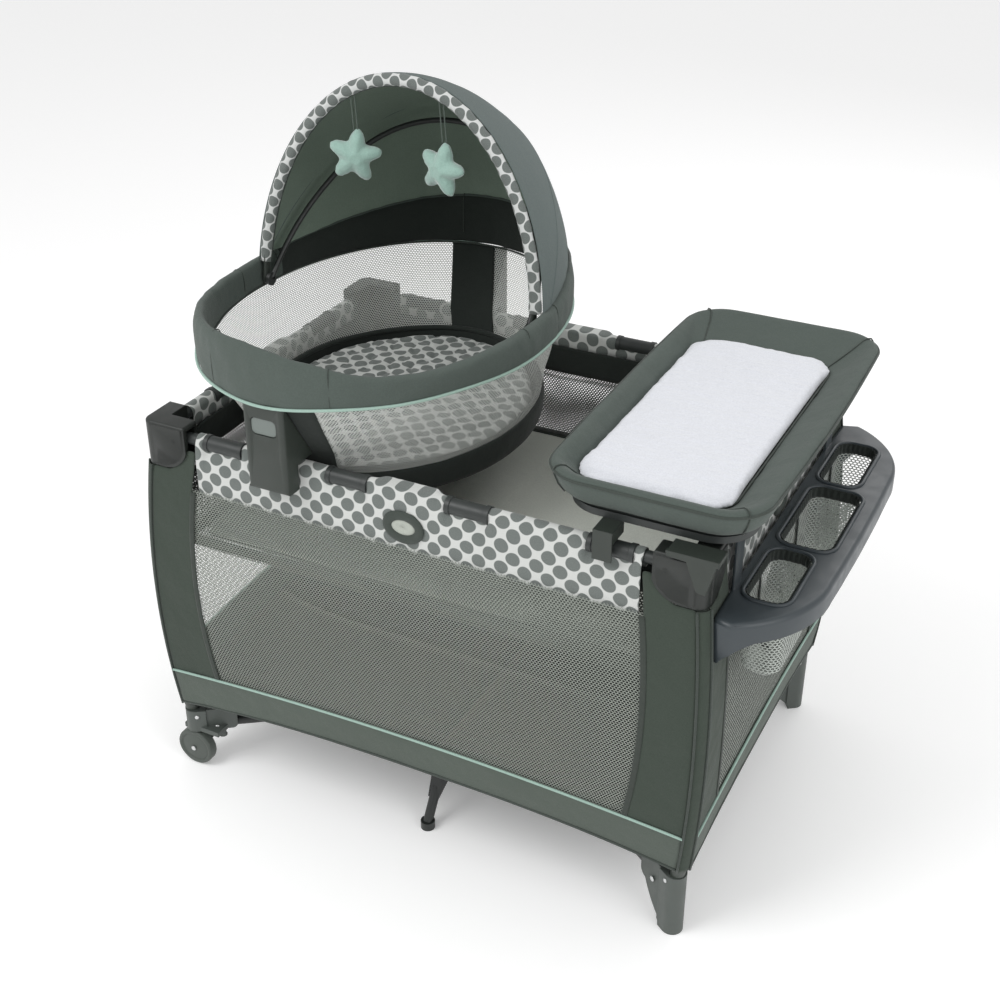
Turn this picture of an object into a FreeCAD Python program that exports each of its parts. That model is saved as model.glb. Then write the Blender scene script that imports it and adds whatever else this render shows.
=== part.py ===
"""Travel play yard: folding frame, fabric tub, lift-out bassinet with canopy, changing table and organizer.

The frame is drawn about the centre of the yard: X runs along the long side towards the organizer,
Y from the front to the rear and Z up from the floor.  Each finished sub-part is then moved by
frame_shift, which puts the origin under the centre of the whole object.  All sizes are millimetres.
"""
import FreeCAD, Part
import math
import os
import re
from types import SimpleNamespace

import Sketcher
from FreeCAD import Placement, Rotation, Vector

SIZES = {
    # whole object
    "frame_shift": 61.5,
    # curved legs and their corners
    "leg_x": 482.0, "leg_y": 338.0, "leg_radius": 12.5, "leg_wall": 1.6, "leg_bow": 26.0,
    "leg_low": 95.0, "leg_high": 695.0,
    "cap_top": 737.0, "cap_low": 655.0, "cap_out": 20.0, "cap_in": 16.2, "cap_roof": 9.0,
    "cap_arm_x": 66.0, "cap_arm_y": 58.0, "cap_cheek": 16.0, "cap_tip_low": 692.0, "cap_round": 18.0,
    "plate_proud": 2.0, "plate_inset": 5.0,
    "hinge_x": 45.0, "hinge_y": 30.0, "pin_radius": 4.0, "pin_bore": 4.05, "open_bore": 5.5,
    # fold linkage
    "link_length": 495.0, "foot_pivot": 38.0, "base_z": 85.0, "base_radius": 10.0, "tube_wall": 1.5,
    # top rails
    "rail_z": 711.0, "rail_radius": 10.0, "rail_overhang": 7.0, "rail_slot": 11.2,
    "clip_length": 75.0, "clip_bore": 10.3, "clip_radius": 13.6, "clip_collar": 15.0,
    "clip_collar_width": 8.0, "clip_outer": 308.0, "clip_inner": 70.0, "clip_side": 120.0,
    # rail latches and their buttons
    "latch_length": 90.0, "latch_low": 632.0, "latch_high": 724.0, "latch_floor": 697.0, "latch_half": 15.0,
    "button_radius": 14.0, "button_z": 662.0, "button_gap": 0.4, "button_proud": 0.5, "button_depth": 14.0,
    # feet and wheels
    "foot_width": 38.0, "foot_top": 125.0, "foot_reach": 76.0, "foot_slot": 21.0, "wing_cheek": 16.0,
    "wheel_radius": 38.0, "wheel_width": 22.0, "wheel_y": 345.0, "axle_radius": 4.0, "axle_bore": 4.06,
    "fork_thick": 7.0, "fork_gap": 1.0, "shelf_low": 78.0, "shelf_high": 88.0,
    # hub and centre legs
    "hub_radius": 74.0, "hub_low": 70.0, "hub_high": 102.0, "hub_slot": 21.0, "support_pivot": 35.0,
    "support_radius": 9.0, "support_knee": 262.0, "support_foot": 310.0, "support_bend": 30.0,
    # fabric tub, raised insert and mattress
    "wall_gap": 17.5, "wall_thick": 3.0, "tub_floor": 150.0, "tub_top": 722.0, "tub_notch": 646.0,
    "tub_x": 458.0, "tub_y": 308.0, "tub_high_x": 398.0, "tub_high_y": 268.0, "insert_gap": 17.5,
    "insert_floor": 486.0, "insert_top": 700.0, "insert_notch": 632.0, "insert_cut_x": 62.0,
    "insert_cut_y": 50.0, "mattress_low": 489.5, "mattress_high": 507.0,
    "mattress_x": 450.0, "mattress_y": 305.0,
    # bassinet
    "bassinet_x": -222.0, "base_x": -212.0, "rim_a": 297.0, "rim_b": 395.0, "rim_thick": 21.0,
    "rim_low": 838.0, "rim_dip": 893.0, "rim_end": 940.0, "ring_low": 850.0, "ring_high": 866.0,
    "basket_top_a": 286.0, "basket_top_b": 384.0, "basket_a": 243.0, "basket_b": 298.0,
    "basket_low": 668.0, "waist_z": 730.0, "waist_a": 248.0, "waist_b": 316.0, "basket_skin": 3.0,
    "tray_low": 640.0, "tray_floor": 5.0, "tray_wall": 8.0,
    "pad_low": 645.5, "pad_high": 690.0, "pad_gap": 11.0,
    "bracket_width": 76.0, "bracket_face": 392.0, "bracket_flange": 359.5, "bracket_low": 683.0,
    "bracket_seat": 728.0, "lever_width": 46.0, "lever_height": 28.0, "lever_z": 800.0, "lever_travel": 4.0,
    # canopy
    "pivot_y": 12.0, "pivot_z": 858.0, "bow_a": 269.0, "bow_height": 380.0, "bow_crown": 225.0,
    "bow_radius": 5.0, "bow_lean": 7.0, "middle_lean": 42.0, "middle_a": 258.0, "middle_height": 352.0,
    "middle_crown": 216.0,
    "eye_radius": 12.0, "eye_width": 7.0, "canopy_a": 285.0, "canopy_height": 391.0, "canopy_skin": 3.0,
    "canopy_sweep": 68.5, "star_left": -94.0, "star_right": 76.0, "star_z": 1097.0, "star_reach": 50.0,
    "star_thick": 26.0, "ribbon_gap": 8.5,
    # changing table
    "changer_low_x": 225.0, "changer_high_x": 565.0, "changer_y": 350.0, "changer_low": 762.0,
    "changer_high": 818.0, "changer_taper": 36.0, "changer_rim": 28.0, "changer_seat": 787.0,
    "changer_board": 750.0, "changer_gap": 0.5, "board_inset": 26.0, "saddle_low": 700.0,
    "saddle_high": 729.0, "saddle_x0": 323.0, "saddle_x1": 354.0, "arm_x0": 438.0, "arm_x1": 519.0,
    # organizer
    "organizer_in": 508.0, "organizer_out": 640.0, "organizer_y": 350.0, "organizer_top": 640.0,
    "organizer_lip": 36.0, "organizer_skin": 4.0, "mouth_near": 18.0, "mouth_far": 26.0, "mouth_step": 18.0,
    "mouth_round": 24.0, "hook_in": 226.0, "hook_out": 262.0, "hook_top": 733.0, "tab_y": 262.0,
    "tab_low": 562.0, "tab_reach": 66.0, "pocket_floor": 490.0, "pocket_skin": 3.0, "pocket_gap": 0.5,
}

doc = FreeCAD.newDocument("play_yard")
sheet = doc.addObject("Spreadsheet::Sheet", "sizes")
for row, (alias, number) in enumerate(SIZES.items(), start=1):
    sheet.set(f"A{row}", alias)
    sheet.set(f"B{row}", str(number))
    sheet.setAlias(f"B{row}", alias)
doc.recompute()
d = SimpleNamespace(**{alias: float(sheet.get(alias)) for alias in SIZES})

CORNERS = {"front_left": (-1, -1), "front_right": (1, -1), "rear_left": (-1, 1), "rear_right": (1, 1)}
ENDS = {"front": -1, "rear": 1}
ORIGIN, X_AXIS, Y_AXIS, Z_AXIS = Vector(), Vector(1, 0, 0), Vector(0, 1, 0), Vector(0, 0, 1)
finished = []

# the diagonal that each base tube folds along, and the two half-spacings of the rail latches
diagonal = math.atan2(d.leg_y, d.leg_x)
reach_x, reach_y = d.link_length * math.cos(diagonal), d.link_length * math.sin(diagonal)
latch_x, latch_y = d.leg_x - reach_x - d.hinge_x, d.leg_y - reach_y - d.hinge_y
hub_pivot = math.hypot(d.leg_x, d.leg_y) - d.foot_pivot - d.link_length


def bound(text):
    """Turn the sheet's aliases in an expression into references to its cells."""
    return re.sub(r"[a-z_]{2,}", lambda m: f"sizes.{m[0]}" if m[0] in SIZES else m[0], str(text))


def bind(thing, **expressions):
    for name, text in expressions.items():
        thing.setExpression(name.replace("__", "."), bound(text))
    return thing


def finish(label, thing, place=ORIGIN, turn=Rotation()):
    """Name a finished sub-part and put it in the object's frame."""
    thing.Label = label
    thing.Placement = Placement(place - Vector(d.frame_shift, 0, 0), turn)
    finished.append(thing)
    return thing


def box(name, x, y, z):
    """A block between pairs of expressions along each axis."""
    block = doc.addObject("Part::Box", name)
    sides = dict(Length=x, Width=y, Height=z)
    bind(block, **{side: f"({high}) - ({low})" for side, (low, high) in sides.items()})
    return bind(block, Placement__Base__x=x[0], Placement__Base__y=y[0], Placement__Base__z=z[0])


def rod(name, radius, low, high, centre, axis="Z"):
    """A cylinder between two expressions along an axis; centre gives its other two coordinates."""
    cylinder = doc.addObject("Part::Cylinder", name)
    cylinder.Placement.Rotation = Rotation(Z_AXIS, {"X": X_AXIS, "Y": Y_AXIS, "Z": Z_AXIS}[axis])
    spots = list(centre)
    spots.insert("XYZ".index(axis), low)
    bind(cylinder, Radius=radius, Height=f"({high}) - ({low})")
    return bind(cylinder, **{f"Placement__Base__{c}": spot for c, spot in zip("xyz", spots)})


def join(kind, name, *things):
    """A boolean of several objects: MultiFuse, MultiCommon, Cut (first less the others) or Compound."""
    if kind == "Cut":
        tools = things[1] if len(things) == 2 else join("MultiFuse", name + "_tools", *things[1:])
        result = doc.addObject("Part::Cut", name)
        result.Base, result.Tool = things[0], tools
        return result
    result = doc.addObject(f"Part::{kind}", name)
    if kind == "Compound":
        result.Links = list(things)
    else:
        result.Shapes = list(things)
    return result


class Body:
    """A PartDesign body with short calls for its sketches and features."""

    def __init__(self, name):
        self.body = doc.addObject("PartDesign::Body", name)
        self.planes = {item.Role: item for item in self.body.Origin.OriginFeatures}
        self.count = 0

    def sketch(self, plane, offset=0.0):
        self.count += 1
        sketch = self.body.newObject("Sketcher::SketchObject", f"{self.body.Name}_sketch{self.count}")
        sketch.AttachmentSupport = [(self.planes[plane + "_Plane"], "")]
        sketch.MapMode = "FlatFace"
        sketch.AttachmentOffset = Placement(Vector(0, 0, offset), Rotation())
        return sketch

    def feature(self, kind, sketch, **settings):
        self.count += 1
        feature = self.body.newObject(f"PartDesign::{kind}", f"{self.body.Name}_{kind.lower()}{self.count}")
        feature.Profile = sketch
        for name, setting in settings.items():
            if isinstance(setting, str) and name in ("Length", "Angle"):
                feature.setExpression(name, bound(setting))
            else:
                setattr(feature, name, setting)
        self.body.Tip = feature
        return feature

    def pad(self, plane, draw, length, offset=0.0, kind="Pad", **settings):
        """Draw an outline on a plane and pad it, or pocket it, by an expression."""
        sketch = self.sketch(plane, offset)
        draw(sketch)
        return self.feature(kind, sketch, Length=length, **settings)


def trace(*steps):
    """An outline through points; a (middle, end) pair of points draws an arc."""
    def draw(sketch):
        here = Vector(*steps[0])
        for step in list(steps[1:]) + [steps[0]]:
            arc = isinstance(step[0], tuple)
            end = Vector(*(step[1] if arc else step))
            if arc:
                sketch.addGeometry(Part.Arc(here, Vector(*step[0]), end), False)
            elif (end - here).Length > 1e-6:
                sketch.addGeometry(Part.LineSegment(here, end), False)
            here = end
    return draw


def circles(*rings):
    """Circles of (x, y, radius expression), each with its radius bound to the sheet."""
    def draw(sketch):
        for x, y, radius in rings:
            index = sketch.addGeometry(Part.Circle(Vector(x, y), Z_AXIS, 10), False)
            fixed = sketch.addConstraint(Sketcher.Constraint("Radius", index, 10))
            sketch.setExpression(f"Constraints[{fixed}]", bound(radius))
    return draw


def ovals(*rings):
    """Ellipses of (x, y, half-width along x, half-width along y)."""
    def draw(sketch):
        for x, y, a, b in rings:
            long_axis = Vector(a, 0) if a > b else Vector(0, b)
            across = Vector(0, b) if a > b else Vector(-a, 0)
            middle = Vector(x, y)
            sketch.addGeometry(Part.Ellipse(middle + long_axis, middle + across, middle), False)
    return draw


def rounded(x0, x1, y0, y1, radius):
    """A rectangle with rounded corners."""
    k = radius * (1 - math.sqrt(0.5))
    return trace((x0 + radius, y0), (x1 - radius, y0), ((x1 - k, y0 + k), (x1, y0 + radius)),
                 (x1, y1 - radius), ((x1 - k, y1 - k), (x1 - radius, y1)), (x0 + radius, y1),
                 ((x0 + k, y1 - k), (x0, y1 - radius)), (x0, y0 + radius),
                 ((x0 + k, y0 + k), (x0 + radius, y0)))


# ---------------------------------------------------------------- curved legs
def leg_arc(name, *radii):
    """A leg in its own diagonal plane: a ring, or a disc, revolved about a far centre."""
    half = (d.leg_high - d.leg_low) / 2
    bend = half ** 2 / (2 * d.leg_bow) + d.leg_bow / 2
    body = Body(name)
    sketch = body.sketch("XY")
    circles(*[(bend, 0, radius) for radius in radii])(sketch)
    body.feature("Revolution", sketch, ReferenceAxis=(sketch, ["V_Axis"]), Midplane=True,
                 Angle=2 * math.degrees(math.asin(half / bend)))
    inward = Vector(d.leg_bow - bend, 0, (d.leg_low + d.leg_high) / 2)
    return body.body, inward


def corner_turn(sx, sy):
    return Rotation(Z_AXIS, math.degrees(math.atan2(sy * d.leg_y, sx * d.leg_x)))


def place_leg(body, inward, sx, sy):
    turn = corner_turn(sx, sy)
    return Vector(sx * d.leg_x, sy * d.leg_y, 0) + turn.multVec(inward), turn


def leg_tubes():
    for corner, (sx, sy) in CORNERS.items():
        body, inward = leg_arc(f"leg_{corner}", "leg_radius", "leg_radius - leg_wall")
        finish(f"leg_tube_{corner}", body, *place_leg(body, inward, sx, sy))


def leg_socket(name, sx, sy):
    """The space that a leg tube takes up inside a moulding."""
    body, inward = leg_arc(name, "leg_radius + 0.1")
    body.Placement = Placement(*place_leg(body, inward, sx, sy))
    return body


# ---------------------------------------------------------------- corner caps
def cap_cuts(body, corner, sx, sy):
    """Clear the rails' slots, round off the underside of the arms and raise a plate on each outer face."""
    out, inside, slot, low = d.cap_out, d.cap_in, d.rail_slot, d.cap_low

    def spot(x, y):
        return sx * (d.leg_x + x), sy * (d.leg_y + y)

    for x0, x1, y0, y1 in ((-d.cap_arm_x - 1, -inside, -slot, slot),
                           (-slot, slot, -d.cap_arm_y - 1, -inside)):
        body.pad("XY", trace(spot(x0, y0), spot(x1, y0), spot(x1, y1), spot(x0, y1)),
                 "cap_top - cap_low - cap_roof", offset=low, kind="Pocket", Reversed=True)
    for plane, sign, arm, middle, face, turned in (
            ("XZ", sx, d.cap_arm_x, d.leg_x, -sy * (d.leg_y + out), sy > 0),
            ("YZ", sy, d.cap_arm_y, d.leg_y, sx * (d.leg_x + out), sx < 0)):
        def along(distance):
            return sign * (middle - distance)

        body.pad(plane, trace((along(arm + 1), low - 1), (along(inside), low - 1), (along(inside), low),
                              ((along(arm * 0.8), low + 14), (along(arm + 1), d.cap_tip_low))),
                 "10", kind="Pocket", Type="ThroughAll", Midplane=True)
        edge, tip = d.plate_inset, arm - d.plate_inset
        body.pad(plane, trace((along(-2), d.cap_top - edge), (along(tip), d.cap_top - edge),
                              (along(tip), d.cap_tip_low + edge),
                              ((along(arm * 0.8 - edge), low + 14 + edge), (along(inside), low + edge)),
                              (along(-2), low + edge)),
                 "plate_proud", offset=face, Reversed=turned)


def corner_caps():
    """A moulded corner over each leg, with a clevis for each of the two top rails that meet there."""
    out, inside, cheek = d.cap_out, d.cap_in, d.cap_cheek
    for corner, (sx, sy) in CORNERS.items():
        body = Body(f"cap_{corner}")

        def spot(x, y):
            return sx * (d.leg_x + x), sy * (d.leg_y + y)

        curve = d.cap_round * (1 - math.sqrt(0.5))
        body.pad("XY", trace(
            spot(out, out - d.cap_round), (spot(out - curve, out - curve), spot(out - d.cap_round, out)),
            spot(-d.cap_arm_x, out), spot(-d.cap_arm_x, -cheek), spot(-inside, -cheek),
            spot(-cheek, -inside), spot(-cheek, -d.cap_arm_y), spot(out, -d.cap_arm_y)),
            "cap_top - cap_low", offset=d.cap_low)
        cap_cuts(body, corner, sx, sy)
        socket = leg_socket(f"cap_bore_{corner}", sx, sy)
        holes, pins = [], []
        for axis, sign, away, middle, place in (
                ("Y", sy, "leg_y", "leg_x", f"{sx} * (leg_x - hinge_x)"),
                ("X", sx, "leg_x", "leg_y", f"{sy} * (leg_y - hinge_y)")):
            holes.append(rod(f"cap_hole_{axis}_{corner}", "pin_radius + 0.05",
                             f"{sign} * {away} - cap_out - 1", f"{sign} * {away} + cap_out + 1",
                             (place, "rail_z"), axis))
            ends = ("cap_cheek", "cap_out") if sign > 0 else ("cap_out", "cap_cheek")
            pins.append(rod(f"cap_pin_{axis}_{corner}", "pin_radius", f"{sign} * {away} - {ends[0]}",
                            f"{sign} * {away} + {ends[1]}", (place, "rail_z"), axis))
        shell = join("Cut", f"cap_shell_{corner}", body.body, socket, *holes)
        finish(f"corner_cap_{corner}", join("Compound", f"cap_{corner}_set", shell, *pins))


# ---------------------------------------------------------------- feet, wheel brackets and wheels
def foot_blank(name, low):
    """The moulding on a leg's lower end, in the diagonal plane: a round socket with a slotted wing."""
    body = Body(name)
    half, top, reach = d.foot_width / 2, d.foot_top, d.foot_reach
    wing_low = d.base_z - d.wing_cheek
    if low:
        side = trace((half, 0), (half, top), (-reach, top), (-reach, wing_low + 12),
                     ((-reach + 4, wing_low + 3), (-reach + 14, wing_low - 2)),
                     ((-0.55 * reach, 0.5 * wing_low), (-half + 3, 10)), (-half + 4, 0))
    else:
        clear = 2 * d.wheel_radius + 2
        side = trace((half, clear), (half, top), (-reach, top), (-reach, clear + 10),
                     ((-reach + 3, clear + 3), (-reach + 10, clear)))
    body.pad("XZ", side, "foot_width", Midplane=True)
    body.pad("XY", trace((-reach - 1, -30), (-half, -30), (-half, -half + 3), (-reach - 1, -half + 3)),
             "foot_top + 1", kind="Pocket", Reversed=True)
    body.pad("XY", trace((-reach - 1, 30), (-half, 30), (-half, half - 3), (-reach - 1, half - 3)),
             "foot_top + 1", kind="Pocket", Reversed=True)
    k = half * (1 - math.sqrt(0.5))
    for sign in (-1, 1):
        body.pad("XY", trace((0.5, sign * half), (half + 1, sign * half), (half + 1, 0), (half, 0),
                             ((half - k, sign * (half - k)), (0.5, sign * half))),
                 "foot_top + 1", kind="Pocket", Reversed=True)
    slot = d.foot_slot / 2
    body.pad("XY", trace((-reach - 1, -slot), (-half, -slot), (-half, slot), (-reach - 1, slot)),
             "foot_top + 1", kind="Pocket", Reversed=True)
    body.pad("XZ", circles((-d.foot_pivot, d.base_z, "pin_radius + 0.05")), "10",
             kind="Pocket", Type="ThroughAll", Midplane=True)
    return body.body


def foot_on_leg(corner, sx, sy, low):
    turn = corner_turn(sx, sy)
    blank = foot_blank(f"foot_blank_{corner}", low)
    blank.Placement = Placement(Vector(sx * d.leg_x, sy * d.leg_y, 0), turn)
    return join("Cut", f"foot_shell_{corner}", blank, leg_socket(f"foot_bore_{corner}", sx, sy))


def foot_pin(corner, sx, sy):
    """The pivot pin of the base tube, across the wing."""
    turn = corner_turn(sx, sy)
    pin = doc.addObject("Part::Cylinder", f"pivot_{corner}")
    bind(pin, Radius="pin_radius", Height="foot_width - 3")
    head = turn.multVec(Vector(-d.foot_pivot, d.foot_width / 2 - 1.5, d.base_z))
    pin.Placement = Placement(Vector(sx * d.leg_x, sy * d.leg_y, 0) + head,
                              turn * Rotation(Z_AXIS, Vector(0, -1, 0)))
    return pin


def feet():
    for corner in ("front_right", "rear_right"):
        sx, sy = CORNERS[corner]
        shell = foot_on_leg(corner, sx, sy, True)
        finish(f"foot_{corner}", join("Compound", f"foot_{corner}_set", shell, foot_pin(corner, sx, sy)))


def wheels():
    for corner in ("front_left", "rear_left"):
        sx, sy = CORNERS[corner]
        shell = foot_on_leg(corner, sx, sy, False)
        inner_face = d.wheel_y - d.wheel_width / 2 - d.fork_gap - d.fork_thick
        fork = Body(f"fork_{corner}")
        fork.pad("XZ", trace((-d.leg_x - 20, 80), (-d.leg_x - 15, 38), ((-d.leg_x, 23), (-d.leg_x + 15, 38)),
                             (-d.leg_x + 34, 66), (-d.leg_x + 34, 80)), "fork_thick",
                 offset=-sy * inner_face - (d.fork_thick if sy > 0 else 0))
        peg = rod(f"peg_{corner}", "8", "58", "80", ("-leg_x + 42", f"{sy} * (leg_y - 20)"), "Z")
        ends = ("-leg_y - 12", "-leg_y + 34") if sy < 0 else ("leg_y - 34", "leg_y + 12")
        shelf = box(f"shelf_{corner}", ("-leg_x - 20", "-leg_x + 56"), ends, ("shelf_low", "shelf_high"))
        slot = Body(f"shelf_slot_{corner}")
        slot.pad("XY", trace((-d.foot_reach - 20, -12), (-d.foot_width / 2, -12), (-d.foot_width / 2, 12),
                             (-d.foot_reach - 20, 12)), "60", offset=60)
        slot.body.Placement = Placement(Vector(sx * d.leg_x, sy * d.leg_y, 0), corner_turn(sx, sy))
        solid = join("MultiFuse", f"bracket_solid_{corner}", shell, fork.body, peg, shelf)
        ends = sorted((sy * (inner_face - 1), sy * (d.wheel_y + d.wheel_width / 2 + 3)))
        axle = rod(f"axle_{corner}", "axle_radius", *ends, ("-leg_x", "wheel_radius"), "Y")
        hole = rod(f"axle_hole_{corner}", "axle_radius + 0.05", ends[0] - 2, ends[1] + 2,
                   ("-leg_x", "wheel_radius"), "Y")
        solid = join("Cut", f"bracket_bored_{corner}", solid, slot.body, hole)
        finish(f"wheel_bracket_{corner}",
               join("Compound", f"bracket_{corner}_set", solid, axle, foot_pin(corner, sx, sy)))

        wheel = Body(f"wheel_{corner}")
        outer, half = d.wheel_radius, d.wheel_width / 2
        sketch = wheel.sketch("XY")
        trace((d.axle_bore, -half), (12, -half), (14, -half + 4), (outer - 9, -half + 4),
              (outer - 7, -half + 1),
              ((outer - 2, -half + 1.5), (outer, -half + 6)), (outer, half - 6),
              ((outer - 2, half - 1.5), (outer - 7, half - 1)), (outer - 9, half - 3),
              ((outer * 0.45, half - 1), (d.axle_bore, half)))(sketch)
        wheel.feature("Revolution", sketch, ReferenceAxis=(sketch, ["V_Axis"]), Angle=360.0)
        finish(f"wheel_{corner}", wheel.body, Vector(-d.leg_x, sy * d.wheel_y, d.wheel_radius),
               Rotation(Z_AXIS, 0 if sy > 0 else 180))


# ---------------------------------------------------------------- base tubes, hub and centre legs
def base_tubes():
    for corner, (sx, sy) in CORNERS.items():
        span = (hub_pivot - d.rail_overhang, hub_pivot + d.link_length + d.rail_overhang)
        skin = rod(f"base_skin_{corner}", "base_radius", *span, (0, 0), "X")
        core = rod(f"base_core_{corner}", "base_radius - tube_wall", span[0] - 1, span[1] + 1, (0, 0), "X")
        holes = [rod(f"base_hole_{spot:.0f}_{corner}", "pin_bore", "-base_radius - 1", "base_radius + 1",
                     (spot, 0), "Y") for spot in (hub_pivot, hub_pivot + d.link_length)]
        tube = join("Cut", f"base_{corner}", skin, core, *holes)
        finish(f"base_tube_{corner}", tube, Vector(0, 0, d.base_z), corner_turn(sx, sy))


def hub():
    """A round moulding with six open slots, one for each base tube and centre leg, and their pins."""
    body = Body("hub_body")
    body.pad("XY", circles((0, 0, "hub_radius")), "hub_high - hub_low", offset=d.hub_low)
    slot, far = d.hub_slot / 2, d.hub_radius + 2
    turns = [math.atan2(sy * d.leg_y, sx * d.leg_x) for sx, sy in CORNERS.values()]
    inner = hub_pivot - 17
    for number, turn in enumerate(turns + [math.pi / 2, -math.pi / 2]):
        near = inner if number < 4 else d.support_pivot - 17
        corners = [(near, -slot), (far, -slot), (far, slot), (near, slot)]
        spun = [(x * math.cos(turn) - y * math.sin(turn), x * math.sin(turn) + y * math.cos(turn))
                for x, y in corners]
        body.pad("XY", trace(*spun), "hub_high - hub_low + 1", offset=d.hub_low, kind="Pocket", Reversed=True)
    pins = []
    for number, turn in enumerate(turns + [math.pi / 2, -math.pi / 2]):
        distance = hub_pivot if number < 4 else d.support_pivot
        pin = doc.addObject("Part::Cylinder", f"hub_pin{number}")
        bind(pin, Radius="pin_radius", Height="hub_slot + 7")
        spin = Rotation(Z_AXIS, math.degrees(turn))
        at = spin.multVec(Vector(distance, d.hub_slot / 2 + 3.5, d.base_z))
        pin.Placement = Placement(at, spin * Rotation(Z_AXIS, Vector(0, -1, 0)))
        pins.append(pin)
    finish("centre_hub", join("MultiFuse", "hub_with_pins", body.body, *pins))


def support_legs():
    """A tube from the hub that bends down to the floor under the middle of each long side."""
    for end, sy in ENDS.items():
        body = Body(f"support_{end}")
        path = body.sketch("YZ")
        start, knee, foot = d.support_pivot - d.rail_overhang, d.support_knee, d.support_foot
        bend, toe = d.support_bend, Vector(sy * foot, 12)
        corner = Vector(sy * knee, d.base_z)
        down, back = (toe - corner).normalize(), Vector(-sy, 0)
        first, last = corner + back * bend, corner + down * bend
        radius = bend * math.tan(down.getAngle(back) / 2)
        middle = corner + (down + back).normalize() * (math.hypot(radius, bend) - radius)
        path.addGeometry(Part.LineSegment(Vector(sy * start, d.base_z), first), False)
        path.addGeometry(Part.Arc(first, middle, last), False)
        path.addGeometry(Part.LineSegment(last, toe), False)
        profile = body.sketch("XZ", offset=-sy * start)
        circles((0, d.base_z, "support_radius"))(profile)
        body.feature("AdditivePipe", profile, Spine=(path, ["Edge1", "Edge2", "Edge3"]),
                     Transition="Round corner")
        pad = rod(f"support_pad_{end}", "13", "0", "16", (0, f"{sy} * support_foot"), "Z")
        gusset = Body(f"gusset_{end}")
        gusset.pad("YZ", trace((sy * (knee - 42), d.base_z + 11), (sy * (knee + 8), d.base_z + 11),
                               (sy * (knee + 26), d.base_z - 34), (sy * (knee - 16), d.base_z - 16)),
                   "22", Midplane=True)
        hole = rod(f"support_hole_{end}", "pin_bore", "-support_radius - 4", "support_radius + 4",
                   (f"{sy} * support_pivot", "base_z"), "X")
        solid = join("MultiFuse", f"support_solid_{end}", body.body, pad, gusset.body)
        finish(f"support_leg_{end}", join("Cut", f"support_{end}_bored", solid, hole))


# ---------------------------------------------------------------- top rails and latches
def rail_clip(name, start, axis, sign, across):
    """The sprung sleeve that holds the raised insert on a rail: a split tube with a collar at each end."""
    pieces = []
    for part, radius, low, high in (("sleeve", "clip_radius", 0, d.clip_length),
                                    ("collar_a", "clip_collar", 0, d.clip_collar_width),
                                    ("collar_b", "clip_collar", d.clip_length - d.clip_collar_width,
                                     d.clip_length)):
        ends = sorted((sign * (start + low), sign * (start + high)))
        pieces.append(rod(f"{name}_{part}", radius, *ends, (across, "rail_z"), axis))
    ends = sorted((sign * (start - 1), sign * (start + d.clip_length + 1)))
    bore = rod(f"{name}_bore", "clip_bore", *ends, (across, "rail_z"), axis)
    side = (f"({across}) - 5", f"({across}) + 5")
    gap = box(f"{name}_gap", *((ends, side) if axis == "X" else (side, ends)),
              ("rail_z - clip_collar - 1", "rail_z"))
    return join("Cut", name, join("MultiFuse", f"{name}_solid", *pieces), bore, gap)


def half_rail(label, axis, sign, across, outer, inner, inner_bore, clip_starts):
    """A tube from its corner hinge to the latch in mid side, with the clips that sit on it."""
    ends = sorted((sign * (outer + d.rail_overhang), sign * (inner - d.rail_overhang)))
    skin = rod(f"{label}_skin", "rail_radius", *ends, (across, "rail_z"), axis)
    core = rod(f"{label}_core", "rail_radius - tube_wall", ends[0] - 1, ends[1] + 1, (across, "rail_z"), axis)
    holes = []
    for name, at, bore in (("hinge", outer, "pin_bore"), ("latch", inner, inner_bore)):
        spot = (sign * at, "rail_z")
        ends = (f"({across}) - rail_radius - 1", f"({across}) + rail_radius + 1")
        holes.append(rod(f"{label}_{name}", bore, *ends, spot, "Y" if axis == "X" else "X"))
    tube = join("Cut", f"{label}_tube", skin, core, *holes)
    clips = [rail_clip(f"{label}_clip{number}", start, axis, sign, across)
             for number, start in enumerate(clip_starts)]
    finish(label, join("Compound", f"{label}_set", tube, *clips))


def rails():
    for side, sy in ENDS.items():
        for part, sx in (("left", -1), ("right", 1)):
            half_rail(f"rail_{side}_{part}", "X", sx, f"{sy} * leg_y", d.leg_x - d.hinge_x, latch_x,
                      "pin_bore" if sx < 0 else "open_bore", (d.clip_inner, d.clip_outer))
    for side, sx in (("left", -1), ("right", 1)):
        for part, sy in ENDS.items():
            half_rail(f"rail_{side}_{part}", "Y", sy, f"{sx} * leg_x", d.leg_y - d.hinge_y, latch_y,
                      "pin_bore" if sy < 0 else "open_bore", (d.clip_side,))


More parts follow.
